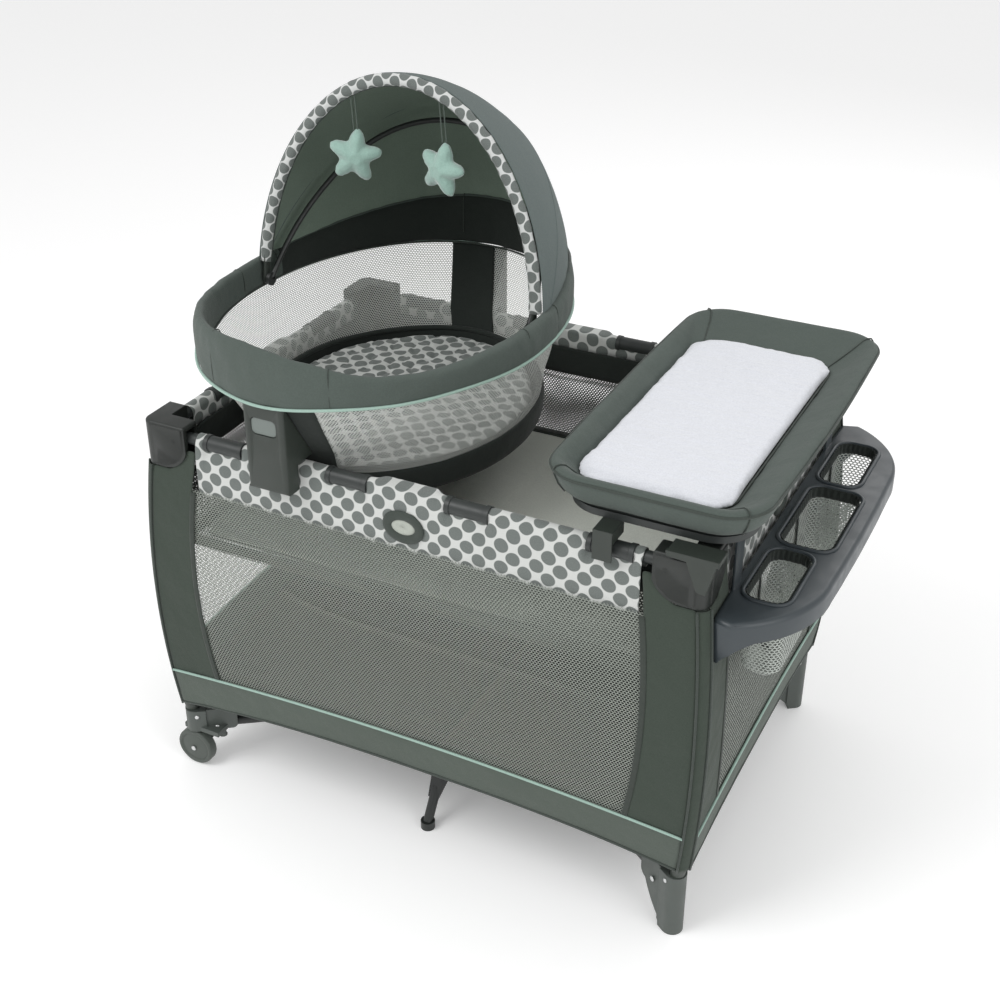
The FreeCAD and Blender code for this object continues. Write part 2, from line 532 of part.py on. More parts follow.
def latches():
    """The housing that joins two half rails, and the button pressed to let them drop."""
    bottom, top, deck, half = d.latch_low, d.latch_high, d.latch_floor, d.latch_half
    for side, along, sign in (("front", "X", -1), ("rear", "X", 1), ("left", "Y", -1), ("right", "Y", 1)):
        away = d.leg_y if along == "X" else d.leg_x
        spread = latch_x if along == "X" else latch_y
        body = Body(f"latch_{side}")
        length = (d.latch_length if along == "X" else d.latch_length - 16) / 2
        turn = Rotation(Z_AXIS, {"front": 0, "rear": 180, "left": -90, "right": 90}[side])
        body.pad("XZ", trace((-length, top), (-length, bottom + 40),
                             ((-length * 0.8, bottom + 12), (-length * 0.5, bottom)), (length * 0.5, bottom),
                             ((length * 0.8, bottom + 12), (length, bottom + 40)), (length, top)),
                 "latch_half * 2", Midplane=True)
        body.pad("XY", trace((-length - 1, -d.rail_slot), (length + 1, -d.rail_slot),
                             (length + 1, d.rail_slot), (-length - 1, d.rail_slot)),
                 "latch_high - latch_floor + 1",
                 offset=top, kind="Pocket")
        body.pad("XZ", circles((0, d.button_z, "button_radius + button_gap")), "button_depth",
                 offset=half, kind="Pocket")
        pins = [rod(f"latch_pin_{side}{number}", "pin_radius", -half, half, (spot, "rail_z"), "Y")
                for number, spot in enumerate((-spread, spread))]
        place = Vector(0, sign * away, 0) if along == "X" else Vector(sign * away, 0, 0)
        finish(f"rail_latch_{side}", join("MultiFuse", f"latch_{side}_pinned", body.body, *pins), place, turn)

        button = Body(f"button_{side}")
        button.pad("XZ", circles((0, d.button_z, "button_radius")),
                   "button_depth + button_proud - lever_travel - 1",
                   offset=half + d.button_proud, Reversed=True)
        finish(f"latch_button_{side}", button.body, place, turn)


# ---------------------------------------------------------------- fabric tub, insert and mattress
def fabric_tub():
    """The outer fabric: a floor with cut-away corners and four walls that stand outside the rails."""
    x, y, thick = d.leg_x + d.wall_gap, d.leg_y + d.wall_gap, d.wall_thick / 2
    floor = Body("tub_floor_body")
    floor.pad("XY", trace((-x - thick, -d.tub_y), (-d.tub_x, -d.tub_y), (-d.tub_x, -y - thick),
                          (d.tub_x, -y - thick), (d.tub_x, -d.tub_y), (x + thick, -d.tub_y),
                          (x + thick, d.tub_y), (d.tub_x, d.tub_y), (d.tub_x, y + thick),
                          (-d.tub_x, y + thick), (-d.tub_x, d.tub_y), (-x - thick, d.tub_y)),
              "wall_thick", offset=d.tub_floor)
    walls = []
    for name, plane, reach, high, at in (("front", "XZ", d.tub_x, d.tub_high_x, -y),
                                         ("rear", "XZ", d.tub_x, d.tub_high_x, y),
                                         ("left", "YZ", d.tub_y, d.tub_high_y, -x),
                                         ("right", "YZ", d.tub_y, d.tub_high_y, x)):
        wall = Body(f"tub_{name}")
        wall.pad(plane, trace((-reach, d.tub_floor), (reach, d.tub_floor), (reach, d.tub_notch),
                              (high, d.tub_notch), (high, d.tub_top), (-high, d.tub_top),
                              (-high, d.tub_notch), (-reach, d.tub_notch)),
                 "wall_thick", offset=(-at if plane == "XZ" else at) - thick)
        walls.append(wall.body)
    finish("yard_fabric", join("MultiFuse", "tub", floor.body, *walls))


def raised_insert():
    """The full-size insert that hangs from the rails, and the mattress that lies in it."""
    x, y = d.leg_x - d.insert_gap, d.leg_y - d.insert_gap
    skin = d.wall_thick
    outer = box("insert_outer", (-x, x), (-y, y), ("insert_floor", "insert_top"))
    hollow = box("insert_hollow", (-x + skin, x - skin), (-y + skin, y - skin),
                 ("insert_floor + wall_thick", "insert_top + 1"))
    corners = [box(f"insert_corner{number}", sorted((sx * (x - d.insert_cut_x), sx * (x + 1))),
                   sorted((sy * (y - d.insert_cut_y), sy * (y + 1))), ("insert_notch", "insert_top + 1"))
               for number, (sx, sy) in enumerate(CORNERS.values())]
    finish("raised_insert", join("Cut", "insert_shell", outer, hollow, *corners))
    body = Body("mattress_body")
    body.pad("XY", rounded(-d.mattress_x, d.mattress_x, -d.mattress_y, d.mattress_y, 30),
             "mattress_high - mattress_low", offset=d.mattress_low)
    finish("mattress", body.body)


# ---------------------------------------------------------------- bassinet
def rim_surface(lift):
    """A long cylinder whose underside is the saddle-shaped top edge of the bassinet's rim."""
    rise = d.rim_end - d.rim_dip
    radius = d.rim_b ** 2 / (2 * rise) + rise / 2
    return rod(f"rim_saddle{lift:.0f}", radius - lift, -700, 300, (0, d.rim_dip + radius), "X")


def oval_band(name, x, a, b, thick, low, high):
    body = Body(name)
    body.pad("XY", ovals((x, 0, a, b), (x, 0, a - thick, b - thick)), high - low, offset=low)
    return body.body


def bassinet_shell():
    x = d.bassinet_x
    band = oval_band("rim_band", x, d.rim_a, d.rim_b, d.rim_thick, d.rim_low, d.rim_end)
    groove = oval_band("rim_groove", x, d.rim_a - 5.7, d.rim_b - 5.7, 8.6, d.ring_low - 0.3,
                       d.ring_high + 0.3)
    pin_holes = rod("rim_pin_holes", "pin_radius + 0.5", x - 290, x + 290, ("pivot_y", "pivot_z"), "X")
    finish("bassinet_rim_cover", join("Cut", "rim_cover", band, rim_surface(0), groove, pin_holes))

    ring = oval_band("rim_ring", x, d.rim_a - 6, d.rim_b - 6, 8, d.ring_low, d.ring_high)
    pins = [rod(f"canopy_pin{sign}", "pin_radius", *sorted((x + sign * 256, x + sign * 286)),
                ("pivot_y", "pivot_z"), "X") for sign in (-1, 1)]
    finish("bassinet_rim_tube", join("MultiFuse", "rim_ring_pinned", ring, *pins))

    skins = []
    for name, inset in (("outer", 0.0), ("inner", d.basket_skin)):
        body = Body(f"basket_{name}")
        sections = []
        for level, middle, a, b in ((d.basket_low, d.base_x, d.basket_a, d.basket_b),
                                    (d.waist_z, d.base_x, d.waist_a, d.waist_b),
                                    (d.rim_low, x, d.basket_top_a, d.basket_top_b)):
            sections.append(body.sketch("XY", level))
            ovals((middle, 0, a - inset, b - inset))(sections[-1])
        body.feature("AdditiveLoft", sections[0], Sections=sections[1:], Ruled=True)
        skins.append(body.body)
    finish("bassinet_basket", join("Cut", "basket_wall", *skins))

    tray = Body("tray_body")
    tray.pad("XY", ovals((d.base_x, 0, d.basket_a, d.basket_b)), "basket_low - tray_low", offset=d.tray_low)
    tray.pad("XY", ovals((d.base_x, 0, d.basket_a - d.tray_wall, d.basket_b - d.tray_wall)),
             "basket_low - tray_low - tray_floor", offset=d.basket_low, kind="Pocket")
    finish("bassinet_tray", tray.body)
    pad = Body("pad_body")
    pad.pad("XY", ovals((d.base_x, 0, d.basket_a - d.pad_gap, d.basket_b - d.pad_gap)),
            "pad_high - pad_low", offset=d.pad_low)
    finish("bassinet_mattress", pad.body)


def bassinet_brackets():
    """The moulded hook that stands the basket on each long rail, and its squeeze lever."""
    seat_y = d.waist_b + 2
    for end, sy in ENDS.items():
        body = Body(f"bracket_{end}")
        middle = d.bassinet_x - 5
        body.pad("YZ", trace((sy * d.bracket_face, d.rim_low), (sy * d.bracket_face, d.bracket_low + 8),
                             ((sy * (d.bracket_face - 3), d.bracket_low + 2),
                              (sy * (d.bracket_face - 9), d.bracket_low)),
                             (sy * d.bracket_flange, d.bracket_low), (sy * d.bracket_flange, d.bracket_seat),
                             (sy * seat_y, d.bracket_seat), (sy * seat_y, d.waist_z),
                             (sy * (d.basket_top_b + 1.5), d.rim_low)),
                 "bracket_width", offset=middle - d.bracket_width / 2)
        face = -d.bracket_face if sy > 0 else d.bracket_face
        gap = 1.0
        body.pad("XZ", rounded(middle - d.lever_width / 2 - gap, middle + d.lever_width / 2 + gap,
                               d.lever_z - d.lever_height / 2 - gap, d.lever_z + d.lever_height / 2 + gap, 9),
                 "14", offset=face, kind="Pocket", Reversed=sy > 0)
        finish(f"bassinet_bracket_{end}", body.body)
        lever = Body(f"lever_{end}")
        lever.pad("XZ", rounded(middle - d.lever_width / 2, middle + d.lever_width / 2,
                                d.lever_z - d.lever_height / 2, d.lever_z + d.lever_height / 2, 8),
                  "7", offset=face + (2 if sy > 0 else -2), Reversed=sy < 0)
        finish(f"release_lever_{end}", lever.body)


# ---------------------------------------------------------------- canopy
def bow_arcs(half, height, crown):
    """A hoop's arch as three tangent arcs, each (start, middle, end), from the right foot to the left."""
    side = (half ** 2 + height ** 2 - 2 * height * crown) / (2 * (half - crown))
    turn = math.atan2(height - crown, side - half)

    def on_side(angle):
        return Vector(half - side + side * math.cos(angle), side * math.sin(angle))

    def mirrored(point):
        return Vector(-point.x, point.y)

    foot, middle, joint = on_side(0), on_side(turn / 2), on_side(turn)
    return ((foot, middle, joint), (joint, Vector(0, height), mirrored(joint)),
            (mirrored(joint), mirrored(middle), mirrored(foot)))


def bow(name, half, height, crown, eye_inset):
    """A hoop of tube, upright in the XZ plane, with an eye at each end."""
    body = Body(name)
    path = body.sketch("XZ")
    for arc in bow_arcs(half, height, crown):
        path.addGeometry(Part.Arc(*arc), False)
    profile = body.sketch("XY")
    circles((half, 0, "bow_radius"))(profile)
    body.feature("AdditivePipe", profile, Spine=(path, ["Edge1", "Edge2", "Edge3"]))
    eyes, holes = [], []
    for sign in (-1, 1):
        ends = sorted((sign * (half - eye_inset), sign * (half - eye_inset + d.eye_width)))
        eyes.append(rod(f"{name}_eye{sign}", "eye_radius", *ends, (0, 0), "X"))
        holes.append(rod(f"{name}_hole{sign}", "pin_bore", ends[0] - 12, ends[1] + 12, (0, 0), "X"))
    return join("Cut", f"{name}_bored", join("MultiFuse", f"{name}_solid", body.body, *eyes), *holes)


def canopy():
    pivot = Vector(d.bassinet_x, d.pivot_y, d.pivot_z)
    lean = {"front": Rotation(X_AXIS, -d.bow_lean), "middle": Rotation(X_AXIS, -d.middle_lean)}
    finish("canopy_bow_front", bow("bow_front", d.bow_a, d.bow_height, d.bow_crown, 3), pivot, lean["front"])
    finish("canopy_bow_middle", bow("bow_middle", d.middle_a, d.middle_height, d.middle_crown, 2), pivot,
           lean["middle"])

    body = Body("hood_body")
    sketch = body.sketch("XZ")
    start = 0.22
    rings = [(d.canopy_a, d.canopy_height), (d.canopy_a - d.canopy_skin, d.canopy_height - d.canopy_skin)]
    ends = []
    for half, height in rings:
        oval = Part.Ellipse(Vector(0, height), Vector(-half, 0), Vector())
        arc = Part.ArcOfEllipse(oval, -math.pi / 2 + start, math.pi / 2 - start)
        sketch.addGeometry(arc, False)
        ends.append((arc.StartPoint, arc.EndPoint))
    for first, second in zip(*ends):
        sketch.addGeometry(Part.LineSegment(first, second), False)
    body.feature("Revolution", sketch, ReferenceAxis=(sketch, ["H_Axis"]), Angle="canopy_sweep",
                 Reversed=True)
    body.body.Placement = Placement(pivot, Rotation(X_AXIS, -d.bow_lean - 2.5))
    finish("canopy_fabric", join("MultiCommon", "hood", body.body, rim_surface(2)))

    stars = []
    lean_y = math.tan(math.radians(d.bow_lean))
    for name, offset in (("left", d.star_left), ("right", d.star_right)):
        star = Body(f"star_{name}")
        points = []
        for k in range(10):
            reach = d.star_reach * (1.0 if k % 2 == 0 else 0.56)
            angle = math.radians(90 + 36 * k)
            points.append((reach * math.cos(angle), reach * math.sin(angle)))
        star.pad("XZ", trace(*points), "star_thick", Midplane=True)
        crown = d.bow_height - d.bow_crown + math.sqrt(d.bow_crown ** 2 - offset ** 2)
        crown_z = d.pivot_z + crown * math.cos(math.radians(d.bow_lean))
        y = d.pivot_y + (crown_z - d.pivot_z) * lean_y
        ribbon = Body(f"ribbon_{name}")
        ribbon_top = crown_z - d.star_z - d.ribbon_gap
        ribbon.pad("XZ", trace((-4, d.star_reach - 6), (4, d.star_reach - 6), (4, ribbon_top),
                               (-4, ribbon_top)), "1.5", Midplane=True)
        piece = join("MultiFuse", f"star_{name}_hung", star.body, ribbon.body)
        piece.Placement = Placement(Vector(d.bassinet_x + offset, y, d.star_z), Rotation())
        stars.append(piece)
    finish("hanging_stars", join("Compound", "star_pair", *stars))


# ---------------------------------------------------------------- changing table
def changer():
    x0, x1, y, taper, rim = d.changer_low_x, d.changer_high_x, d.changer_y, d.changer_taper, d.changer_rim
    body = Body("changer_pan")
    low = body.sketch("XY", d.changer_low)
    rounded(x0 + taper, x1 - taper, -y + taper, y - taper, 60)(low)
    high = body.sketch("XY", d.changer_high)
    rounded(x0, x1, -y, y, 70)(high)
    body.feature("AdditiveLoft", low, Sections=[high], Ruled=True)
    seat = body.sketch("XY", d.changer_seat)
    rounded(x0 + taper, x1 - taper, -y + 2 * taper, y - 2 * taper, 50)(seat)
    mouth = body.sketch("XY", d.changer_high)
    rounded(x0 + rim, x1 - rim, -y + rim, y - rim, 55)(mouth)
    body.feature("SubtractiveLoft", seat, Sections=[mouth], Ruled=True)
    finish("changer_cover", body.body)

    pad = Body("changer_pad_body")
    pad.pad("XY", rounded(x0 + taper + 3, x1 - taper - 3, -y + 2 * taper + 3, y - 2 * taper - 3, 48),
            "12", offset=d.changer_seat + 0.5)
    finish("changer_pad", pad.body)

    board = Body("changer_board_body")
    inset = d.board_inset
    board.pad("XY", rounded(x0 + inset, x1 - inset, -y + inset, y - inset, 64),
              "changer_low - changer_board - changer_gap", offset=d.changer_board)
    finish("changer_frame", board.body)

    arms = []
    under, deck, outside = d.changer_board, d.changer_board - 9, d.leg_y + d.cap_out + 3
    for end, sy in ENDS.items():
        def across(*spots):
            return sorted(sy * spot for spot in spots)
        hook = (d.saddle_x0, d.saddle_x1)
        inner, edge, outer = d.leg_y - 20.5, d.leg_y + d.wall_gap + d.wall_thick + 1.7, d.leg_y + 25
        arms.append(box(f"saddle_post_{end}", hook, across(inner, outer), ("saddle_high", under)))
        arms.append(box(f"saddle_hook_{end}", hook, across(edge, outer), ("saddle_low", "saddle_high")))
        plate = Body(f"cap_plate_{end}")
        x0, x1 = d.arm_x0, d.arm_x1
        plate.pad("XZ", trace((x0, under), (x0 + 2, deck), (x0 + 32, deck - 2),
                              ((x0 + 42, 712), (x0 + 50, 692)), (x0 + 64, 690),
                              ((x0 + 70, 712), (x1 - 4, deck)), (x1, under)), "8",
                  offset=-sy * outside - (8 if sy > 0 else 0))
        arms.append(plate.body)
        arms.append(box(f"cap_top_{end}", (x0 + 2, x1), across(d.leg_y - 6, outside + 8), (deck, under)))
    finish("changer_arms", join("MultiFuse", "changer_arm_set", *arms))


# ---------------------------------------------------------------- organizer
def organizer_outline(inset):
    """The plan of the organizer tray: straight along the yard, bulging outwards, round at both ends."""
    near, far, y = d.organizer_in + inset, d.organizer_out - inset, d.organizer_y - inset
    return trace((near, -y + 10), (near + 30, -y), ((far - 26, -y + 72), (far, -y + 175)),
                 ((far + 3, 0), (far, y - 175)), ((far - 26, y - 72), (near + 30, y)), (near, y - 10))


MOUTHS = ((-272.0, -118.0), (-100.0, 100.0), (118.0, 272.0))


def mouth(low, high, inset):
    """The plan of one pocket's opening; the two end ones reach out less far."""
    near, far = d.organizer_in + d.mouth_near, d.organizer_out - d.mouth_far
    far -= d.mouth_step if low * high > 0 else 0
    return rounded(near + inset, far - inset, low + inset, high - inset, d.mouth_round - inset)


def organizer():
    """A moulded tray with three openings, each with a net pocket hanging in it."""
    tray = Body("organizer_tray_body")
    top, lip, skin = d.organizer_top, d.organizer_lip, d.organizer_skin
    tray.pad("XY", organizer_outline(0), "organizer_lip", offset=top - lip)
    tray.pad("XY", organizer_outline(skin), "organizer_lip - organizer_skin", offset=top - lip,
             kind="Pocket", Reversed=True)
    for low, high in MOUTHS:
        tray.pad("XY", mouth(low, high, 0), "organizer_skin * 3", offset=top + 1, kind="Pocket")
    extras = []
    for end, sy in ENDS.items():
        span = sorted((sy * d.hook_in, sy * d.hook_out))
        extras.append(box(f"hook_plate_{end}", ("organizer_in", "organizer_in + 4"), span,
                          ("organizer_top - 2", "hook_top")))
        extras.append(box(f"hook_roof_{end}", ("leg_x - 20", "organizer_in + 4"), span,
                          ("hook_top - 4", "hook_top")))

        skirt = Body(f"skirt_{end}")
        skirt.pad("XY", organizer_outline(0), "organizer_top - organizer_lip - tab_low + 1", offset=d.tab_low)
        skirt.pad("XY", organizer_outline(skin), "organizer_lip * 3", offset=d.tab_low - 1, kind="Pocket",
                  Reversed=True)
        wedge = Body(f"wedge_{end}")
        near, edge = d.organizer_in, top - lip + 1
        wedge.pad("XZ", trace((near - 1, edge), (near - 1, d.tab_low), (near + 12, d.tab_low),
                              ((near + 0.55 * d.tab_reach, edge - 15), (near + d.tab_reach, edge))),
                  "organizer_y - tab_y", offset=-sy * d.tab_y, Reversed=sy > 0)
        extras.append(join("MultiCommon", f"tab_{end}", skirt.body, wedge.body))
    finish("organizer_tray", join("MultiFuse", "organizer_solid", tray.body, *extras))

    pockets = []
    for number, (low, high) in enumerate(MOUTHS):
        cup = Body(f"pocket{number}")
        cup.pad("XY", mouth(low, high, d.pocket_gap), "organizer_top - pocket_floor - 1",
                offset=d.pocket_floor)
        cup.pad("XY", mouth(low, high, d.pocket_gap + d.pocket_skin),
                "organizer_top - pocket_floor - 1 - pocket_skin", offset=top - 1, kind="Pocket")
        pockets.append(cup.body)
    finish("organizer_pockets", join("Compound", "pocket_set", *pockets))


def main():
    leg_tubes()
    corner_caps()
    feet()
    wheels()
    base_tubes()
    hub()
    support_legs()
    rails()
    latches()
    fabric_tub()
    raised_insert()
    bassinet_shell()
    bassinet_brackets()
    canopy()
    changer()
    organizer()
    doc.recompute()

    for item in doc.Objects:
        if "Invalid" in item.State or "Error" in item.State:
            raise RuntimeError(f"{item.Name} failed: {item.State}")
    os.makedirs("parts", exist_ok=True)
    for item in finished:
        if item.Shape.isNull() or not item.Shape.isValid():
            raise RuntimeError(f"{item.Label} has no valid shape")
    for item in finished:
        item.Shape.exportStep(f"parts/{item.Label}.step")
    whole = Part.makeCompound([item.Shape for item in finished]).BoundBox
    print(f"{len(finished)} sub-parts, {whole.XMin:.1f}..{whole.XMax:.1f}, "
          f"{whole.YMin:.1f}..{whole.YMax:.1f}, {whole.ZMin:.1f}..{whole.ZMax:.1f} mm")


main()
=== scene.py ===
"""Travel play yard: fabrics, nets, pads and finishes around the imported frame.

Lengths in the geometry code are millimetres in the yard's own frame, whose origin is under the middle of the four
legs.  to_frame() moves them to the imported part's frame, in metres.
"""

from math import atan2, copysign, cos, exp, hypot, pi, radians, sin, sqrt, tan

import bmesh
import bpy
import numpy as np
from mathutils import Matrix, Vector, noise


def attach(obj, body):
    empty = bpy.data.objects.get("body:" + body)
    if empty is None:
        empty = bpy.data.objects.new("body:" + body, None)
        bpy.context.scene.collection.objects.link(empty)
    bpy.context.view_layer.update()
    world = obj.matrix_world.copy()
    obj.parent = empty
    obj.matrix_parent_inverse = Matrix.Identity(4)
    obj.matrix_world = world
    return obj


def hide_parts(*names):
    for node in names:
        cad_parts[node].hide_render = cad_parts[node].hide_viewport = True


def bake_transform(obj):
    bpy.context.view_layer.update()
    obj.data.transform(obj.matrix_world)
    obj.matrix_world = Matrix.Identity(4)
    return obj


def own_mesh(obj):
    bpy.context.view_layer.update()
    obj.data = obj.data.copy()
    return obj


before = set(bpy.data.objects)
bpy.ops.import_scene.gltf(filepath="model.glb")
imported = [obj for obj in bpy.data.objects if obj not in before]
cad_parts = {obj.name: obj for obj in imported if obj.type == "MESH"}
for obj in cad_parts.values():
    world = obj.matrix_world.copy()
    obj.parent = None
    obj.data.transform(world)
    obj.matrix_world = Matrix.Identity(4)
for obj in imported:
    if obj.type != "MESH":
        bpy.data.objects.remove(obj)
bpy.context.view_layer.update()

SHIFT = 0.0615                          # the yard's centre lies this far to -X of the part's centre, in metres
LEG_X, LEG_Y = 482.0, 338.0             # leg centres at the caps
LEG_BOW, LEG_LOW, LEG_HIGH = 26.0, 95.0, 695.0
SLEEVE = 17.5                           # radius of the fabric sleeve round a leg
RAIL_Z = 711.0
FLOOR_Z = 150.0
DIAGONAL = atan2(LEG_Y, LEG_X)
CORNERS = {"front_left": (-1, -1), "front_right": (1, -1), "rear_left": (-1, 1), "rear_right": (1, 1)}
BAS_X, BASE_X = -222.0, -212.0          # middle of the bassinet's rim, and of its base


def to_frame(points):
    out = np.asarray(points, float) / 1000.0
    out[..., 0] -= SHIFT
    return out


def turn(count):
    return np.linspace(0, 2 * pi, count, endpoint=False)


def clamp(value):
    return max(0.0, min(1.0, value))


def grid(spot, us, vs):
    """Rows of points spot(u, v), one row for each v."""
    return [[spot(u, v) for u in us] for v in vs]


# ---------------------------------------------------------------- camera
camera = bpy.data.objects.new("camera", bpy.data.cameras.new("camera"))
bpy.context.scene.collection.objects.link(camera)
camera.data.lens, camera.data.sensor_width = 53.6, 36.0
camera.data.clip_end = 60.0
camera.location = (0.9701, -2.0692, 1.876)
camera.rotation_mode = "QUATERNION"
camera.rotation_quaternion = Vector((-0.388, 0.771, -0.5045)).to_track_quat("-Z", "Y")
bpy.context.scene.camera = camera
bpy.context.scene.view_settings.view_transform = "Standard"     # the colours below are shown as they are given


# ---------------------------------------------------------------- materials
def srgb(colour):
    """Linear light from a colour given as 0 to 255."""
    return tuple((c / 12.92 if c <= 0.04045 else ((c + 0.055) / 1.055) ** 2.4) for c in np.array(colour) / 255)


class Nodes:
    """A node material with a Principled shader, and short ways to add and join nodes."""

    def __init__(self, name, rough, sheen=0.0, specular=0.5, metallic=0.0):
        self.mat = bpy.data.materials.new(name)
        self.mat.use_nodes = True
        self.tree = self.mat.node_tree
        self.tree.nodes.clear()
        self.out = self.tree.nodes.new("ShaderNodeOutputMaterial")
        self.bsdf = self.tree.nodes.new("ShaderNodeBsdfPrincipled")
        self.join(self.bsdf.outputs[0], self.out.inputs[0])
        self.set(self.bsdf, Roughness=rough, Metallic=metallic)
        self.bsdf.inputs["Specular IOR Level"].default_value = specular
        if sheen:
            self.bsdf.inputs["Sheen Weight"].default_value = sheen
            self.bsdf.inputs["Sheen Roughness"].default_value = 0.5

    def set(self, node, **values):
        for key, value in values.items():
            node.inputs[key].default_value = value

    def join(self, source, target):
        self.tree.links.new(source, target)

    def add(self, kind, **settings):
        node = self.tree.nodes.new("ShaderNode" + kind)
        for key, value in settings.items():
            setattr(node, key, value)
        return node

    def put(self, value, socket):
        """A number or a colour is set on the socket, and another node's output is joined to it."""
        if isinstance(value, (int, float)):
            socket.default_value = value
        elif isinstance(value, tuple):
            socket.default_value = (*value, 1.0)
        else:
            self.join(value, socket)

    def math(self, operation, a, b=0.0):
        node = self.add("Math", operation=operation)
        self.put(a, node.inputs[0])
        self.put(b, node.inputs[1])
        return node.outputs[0]

    def plus(self, a, b):
        return self.math("ADD", a, b)

    def times(self, a, b):
        return self.math("MULTIPLY", a, b)

    def ramp(self, value, low, high, to_low=0.0, to_high=1.0):
        node = self.add("MapRange", interpolation_type="SMOOTHSTEP")
        self.put(value, node.inputs[0])
        for index, number in enumerate((low, high, to_low, to_high), 1):
            node.inputs[index].default_value = number
        return node.outputs[0]

    def mix(self, share, a, b):
        node = self.add("Mix", data_type="RGBA")
        self.put(share, node.inputs[0])
        self.put(a, node.inputs[6])
        self.put(b, node.inputs[7])
        return node.outputs[2]

    def coords(self, kind):
        return self.add("TexCoord").outputs[kind]

    def split(self, vector):
        node = self.add("SeparateXYZ")
        self.join(vector, node.inputs[0])
        return node.outputs

    def noise(self, vector, scale, detail=3.0, rough=0.55):
        node = self.add("TexNoise")
        self.join(vector, node.inputs["Vector"])
        self.set(node, Scale=scale, Detail=detail, Roughness=rough)
        return node.outputs["Fac"]

    def bump(self, height, strength, distance, after=None):
        node = self.add("Bump")
        node.inputs["Strength"].default_value = strength
        node.inputs["Distance"].default_value = distance
        self.join(height, node.inputs["Height"])
        if after is not None:
            self.join(after, node.inputs["Normal"])
        return node.outputs[0]

    def shade(self, colour, normal=None, rough=None):
        self.put(colour, self.bsdf.inputs["Base Color"])
        if normal is not None:
            self.join(normal, self.bsdf.inputs["Normal"])
        if rough is not None:
            self.join(rough, self.bsdf.inputs["Roughness"])
        return self.mat


def scaled(colour, factor):
    return tuple(min(1.0, c * factor) for c in colour)


def weave_height(n, vector, pitch):
    """Over-and-under threads: two crossed sines with a little unevenness."""
    x, y, z = n.split(vector)
    wave = 2 * pi / pitch
    across = n.math("SINE", n.times(n.plus(x, n.times(z, 0.6)), wave))
    along = n.math("SINE", n.times(n.plus(y, n.times(z, 0.8)), wave))
    return n.plus(n.times(across, along), n.noise(vector, 0.35 / pitch, 2.0))


def fabric(name, colour, pitch=0.0011, rough=0.88, sheen=0.1, uneven=0.1, soft_folds=0.5):
    """Plain woven polyester with soft folds."""
    colour = srgb(colour)
    n = Nodes(name, rough, sheen, 0.25)
    where = n.coords("Object")
    shade = n.noise(where, 9.0, 4.0)
    fine = n.noise(where, 420.0, 2.0)
    tone = n.mix(shade, scaled(colour, 1 - uneven), scaled(colour, 1 + uneven))
    tone = n.mix(n.ramp(fine, 0.3, 0.7, 0.0, 0.35), tone, scaled(colour, 0.72))
    folds = n.bump(n.noise(where, 16.0, 3.0), soft_folds, 0.012)
    threads = n.bump(weave_height(n, where, pitch), 0.25, 0.0003, folds)
    roughness = n.ramp(shade, 0.2, 0.8, rough - 0.06, min(1.0, rough + 0.06))
    return n.shade(tone, threads, roughness)


def spots(n, vector, pitch_x, pitch_y, half_x, half_y, edge, stagger=True):
    """1 inside rows of ovals and 0 between them, on a flat pattern in metres."""
    x, y, _ = n.split(vector)
    across = n.math("DIVIDE", x, pitch_x)
    down = n.math("DIVIDE", y, pitch_y)
    if stagger:
        odd = n.math("MODULO", n.math("ABSOLUTE", n.math("FLOOR", down)), 2.0)
        across = n.plus(across, n.times(odd, 0.5))
    fx = n.times(n.math("SUBTRACT", n.math("FRACT", across), 0.5), pitch_x / half_x)
    fy = n.times(n.math("SUBTRACT", n.math("FRACT", down), 0.5), pitch_y / half_y)
    far = n.math("SQRT", n.plus(n.times(fx, fx), n.times(fy, fy)))
    return n.ramp(far, 1 - edge, 1 + edge, 1.0, 0.0), far


def dotted(name, ground, dot, pitch=(0.040, 0.0192), size=(0.0122, 0.0118)):
    """White cloth with staggered grey dots with soft edges."""
    ground, dot = srgb(ground), srgb(dot)
    n = Nodes(name, 0.85, 0.25, 0.3)
    where = n.coords("UV")
    wobble = n.add("VectorMath", operation="MULTIPLY_ADD")
    noise_node = n.add("TexNoise")
    n.join(where, noise_node.inputs["Vector"])
    n.set(noise_node, Scale=45.0, Detail=1.0)
    n.join(noise_node.outputs["Color"], wobble.inputs[0])
    wobble.inputs[1].default_value = (0.0016, 0.0016, 0.0)
    n.join(where, wobble.inputs[2])
    # dots are taller than the row spacing, so two plain grids half a step apart are joined
    inside, _ = spots(n, wobble.outputs[0], pitch[0], pitch[1] * 2, size[0], size[1], 0.05, False)
    shifted = n.add("VectorMath", operation="ADD")
    n.join(wobble.outputs[0], shifted.inputs[0])
    shifted.inputs[1].default_value = (pitch[0] * 0.5, pitch[1], 0.0)
    between, _ = spots(n, shifted.outputs[0], pitch[0], pitch[1] * 2, size[0], size[1], 0.05, False)
    mask = n.math("MAXIMUM", inside, between)
    fine = n.noise(where, 900.0, 2.0)
    white = n.mix(n.ramp(fine, 0.3, 0.7, 0.0, 1.0), scaled(ground, 0.9), ground)
    grey = n.mix(n.ramp(fine, 0.35, 0.65, 0.0, 1.0), scaled(dot, 0.78), scaled(dot, 1.12))
    height = n.bump(weave_height(n, n.coords("Object"), 0.0011), 0.2, 0.0003,
                    n.bump(n.noise(n.coords("Object"), 22.0, 3.0), 0.35, 0.008))
    return n.shade(n.mix(mask, white, grey), height)


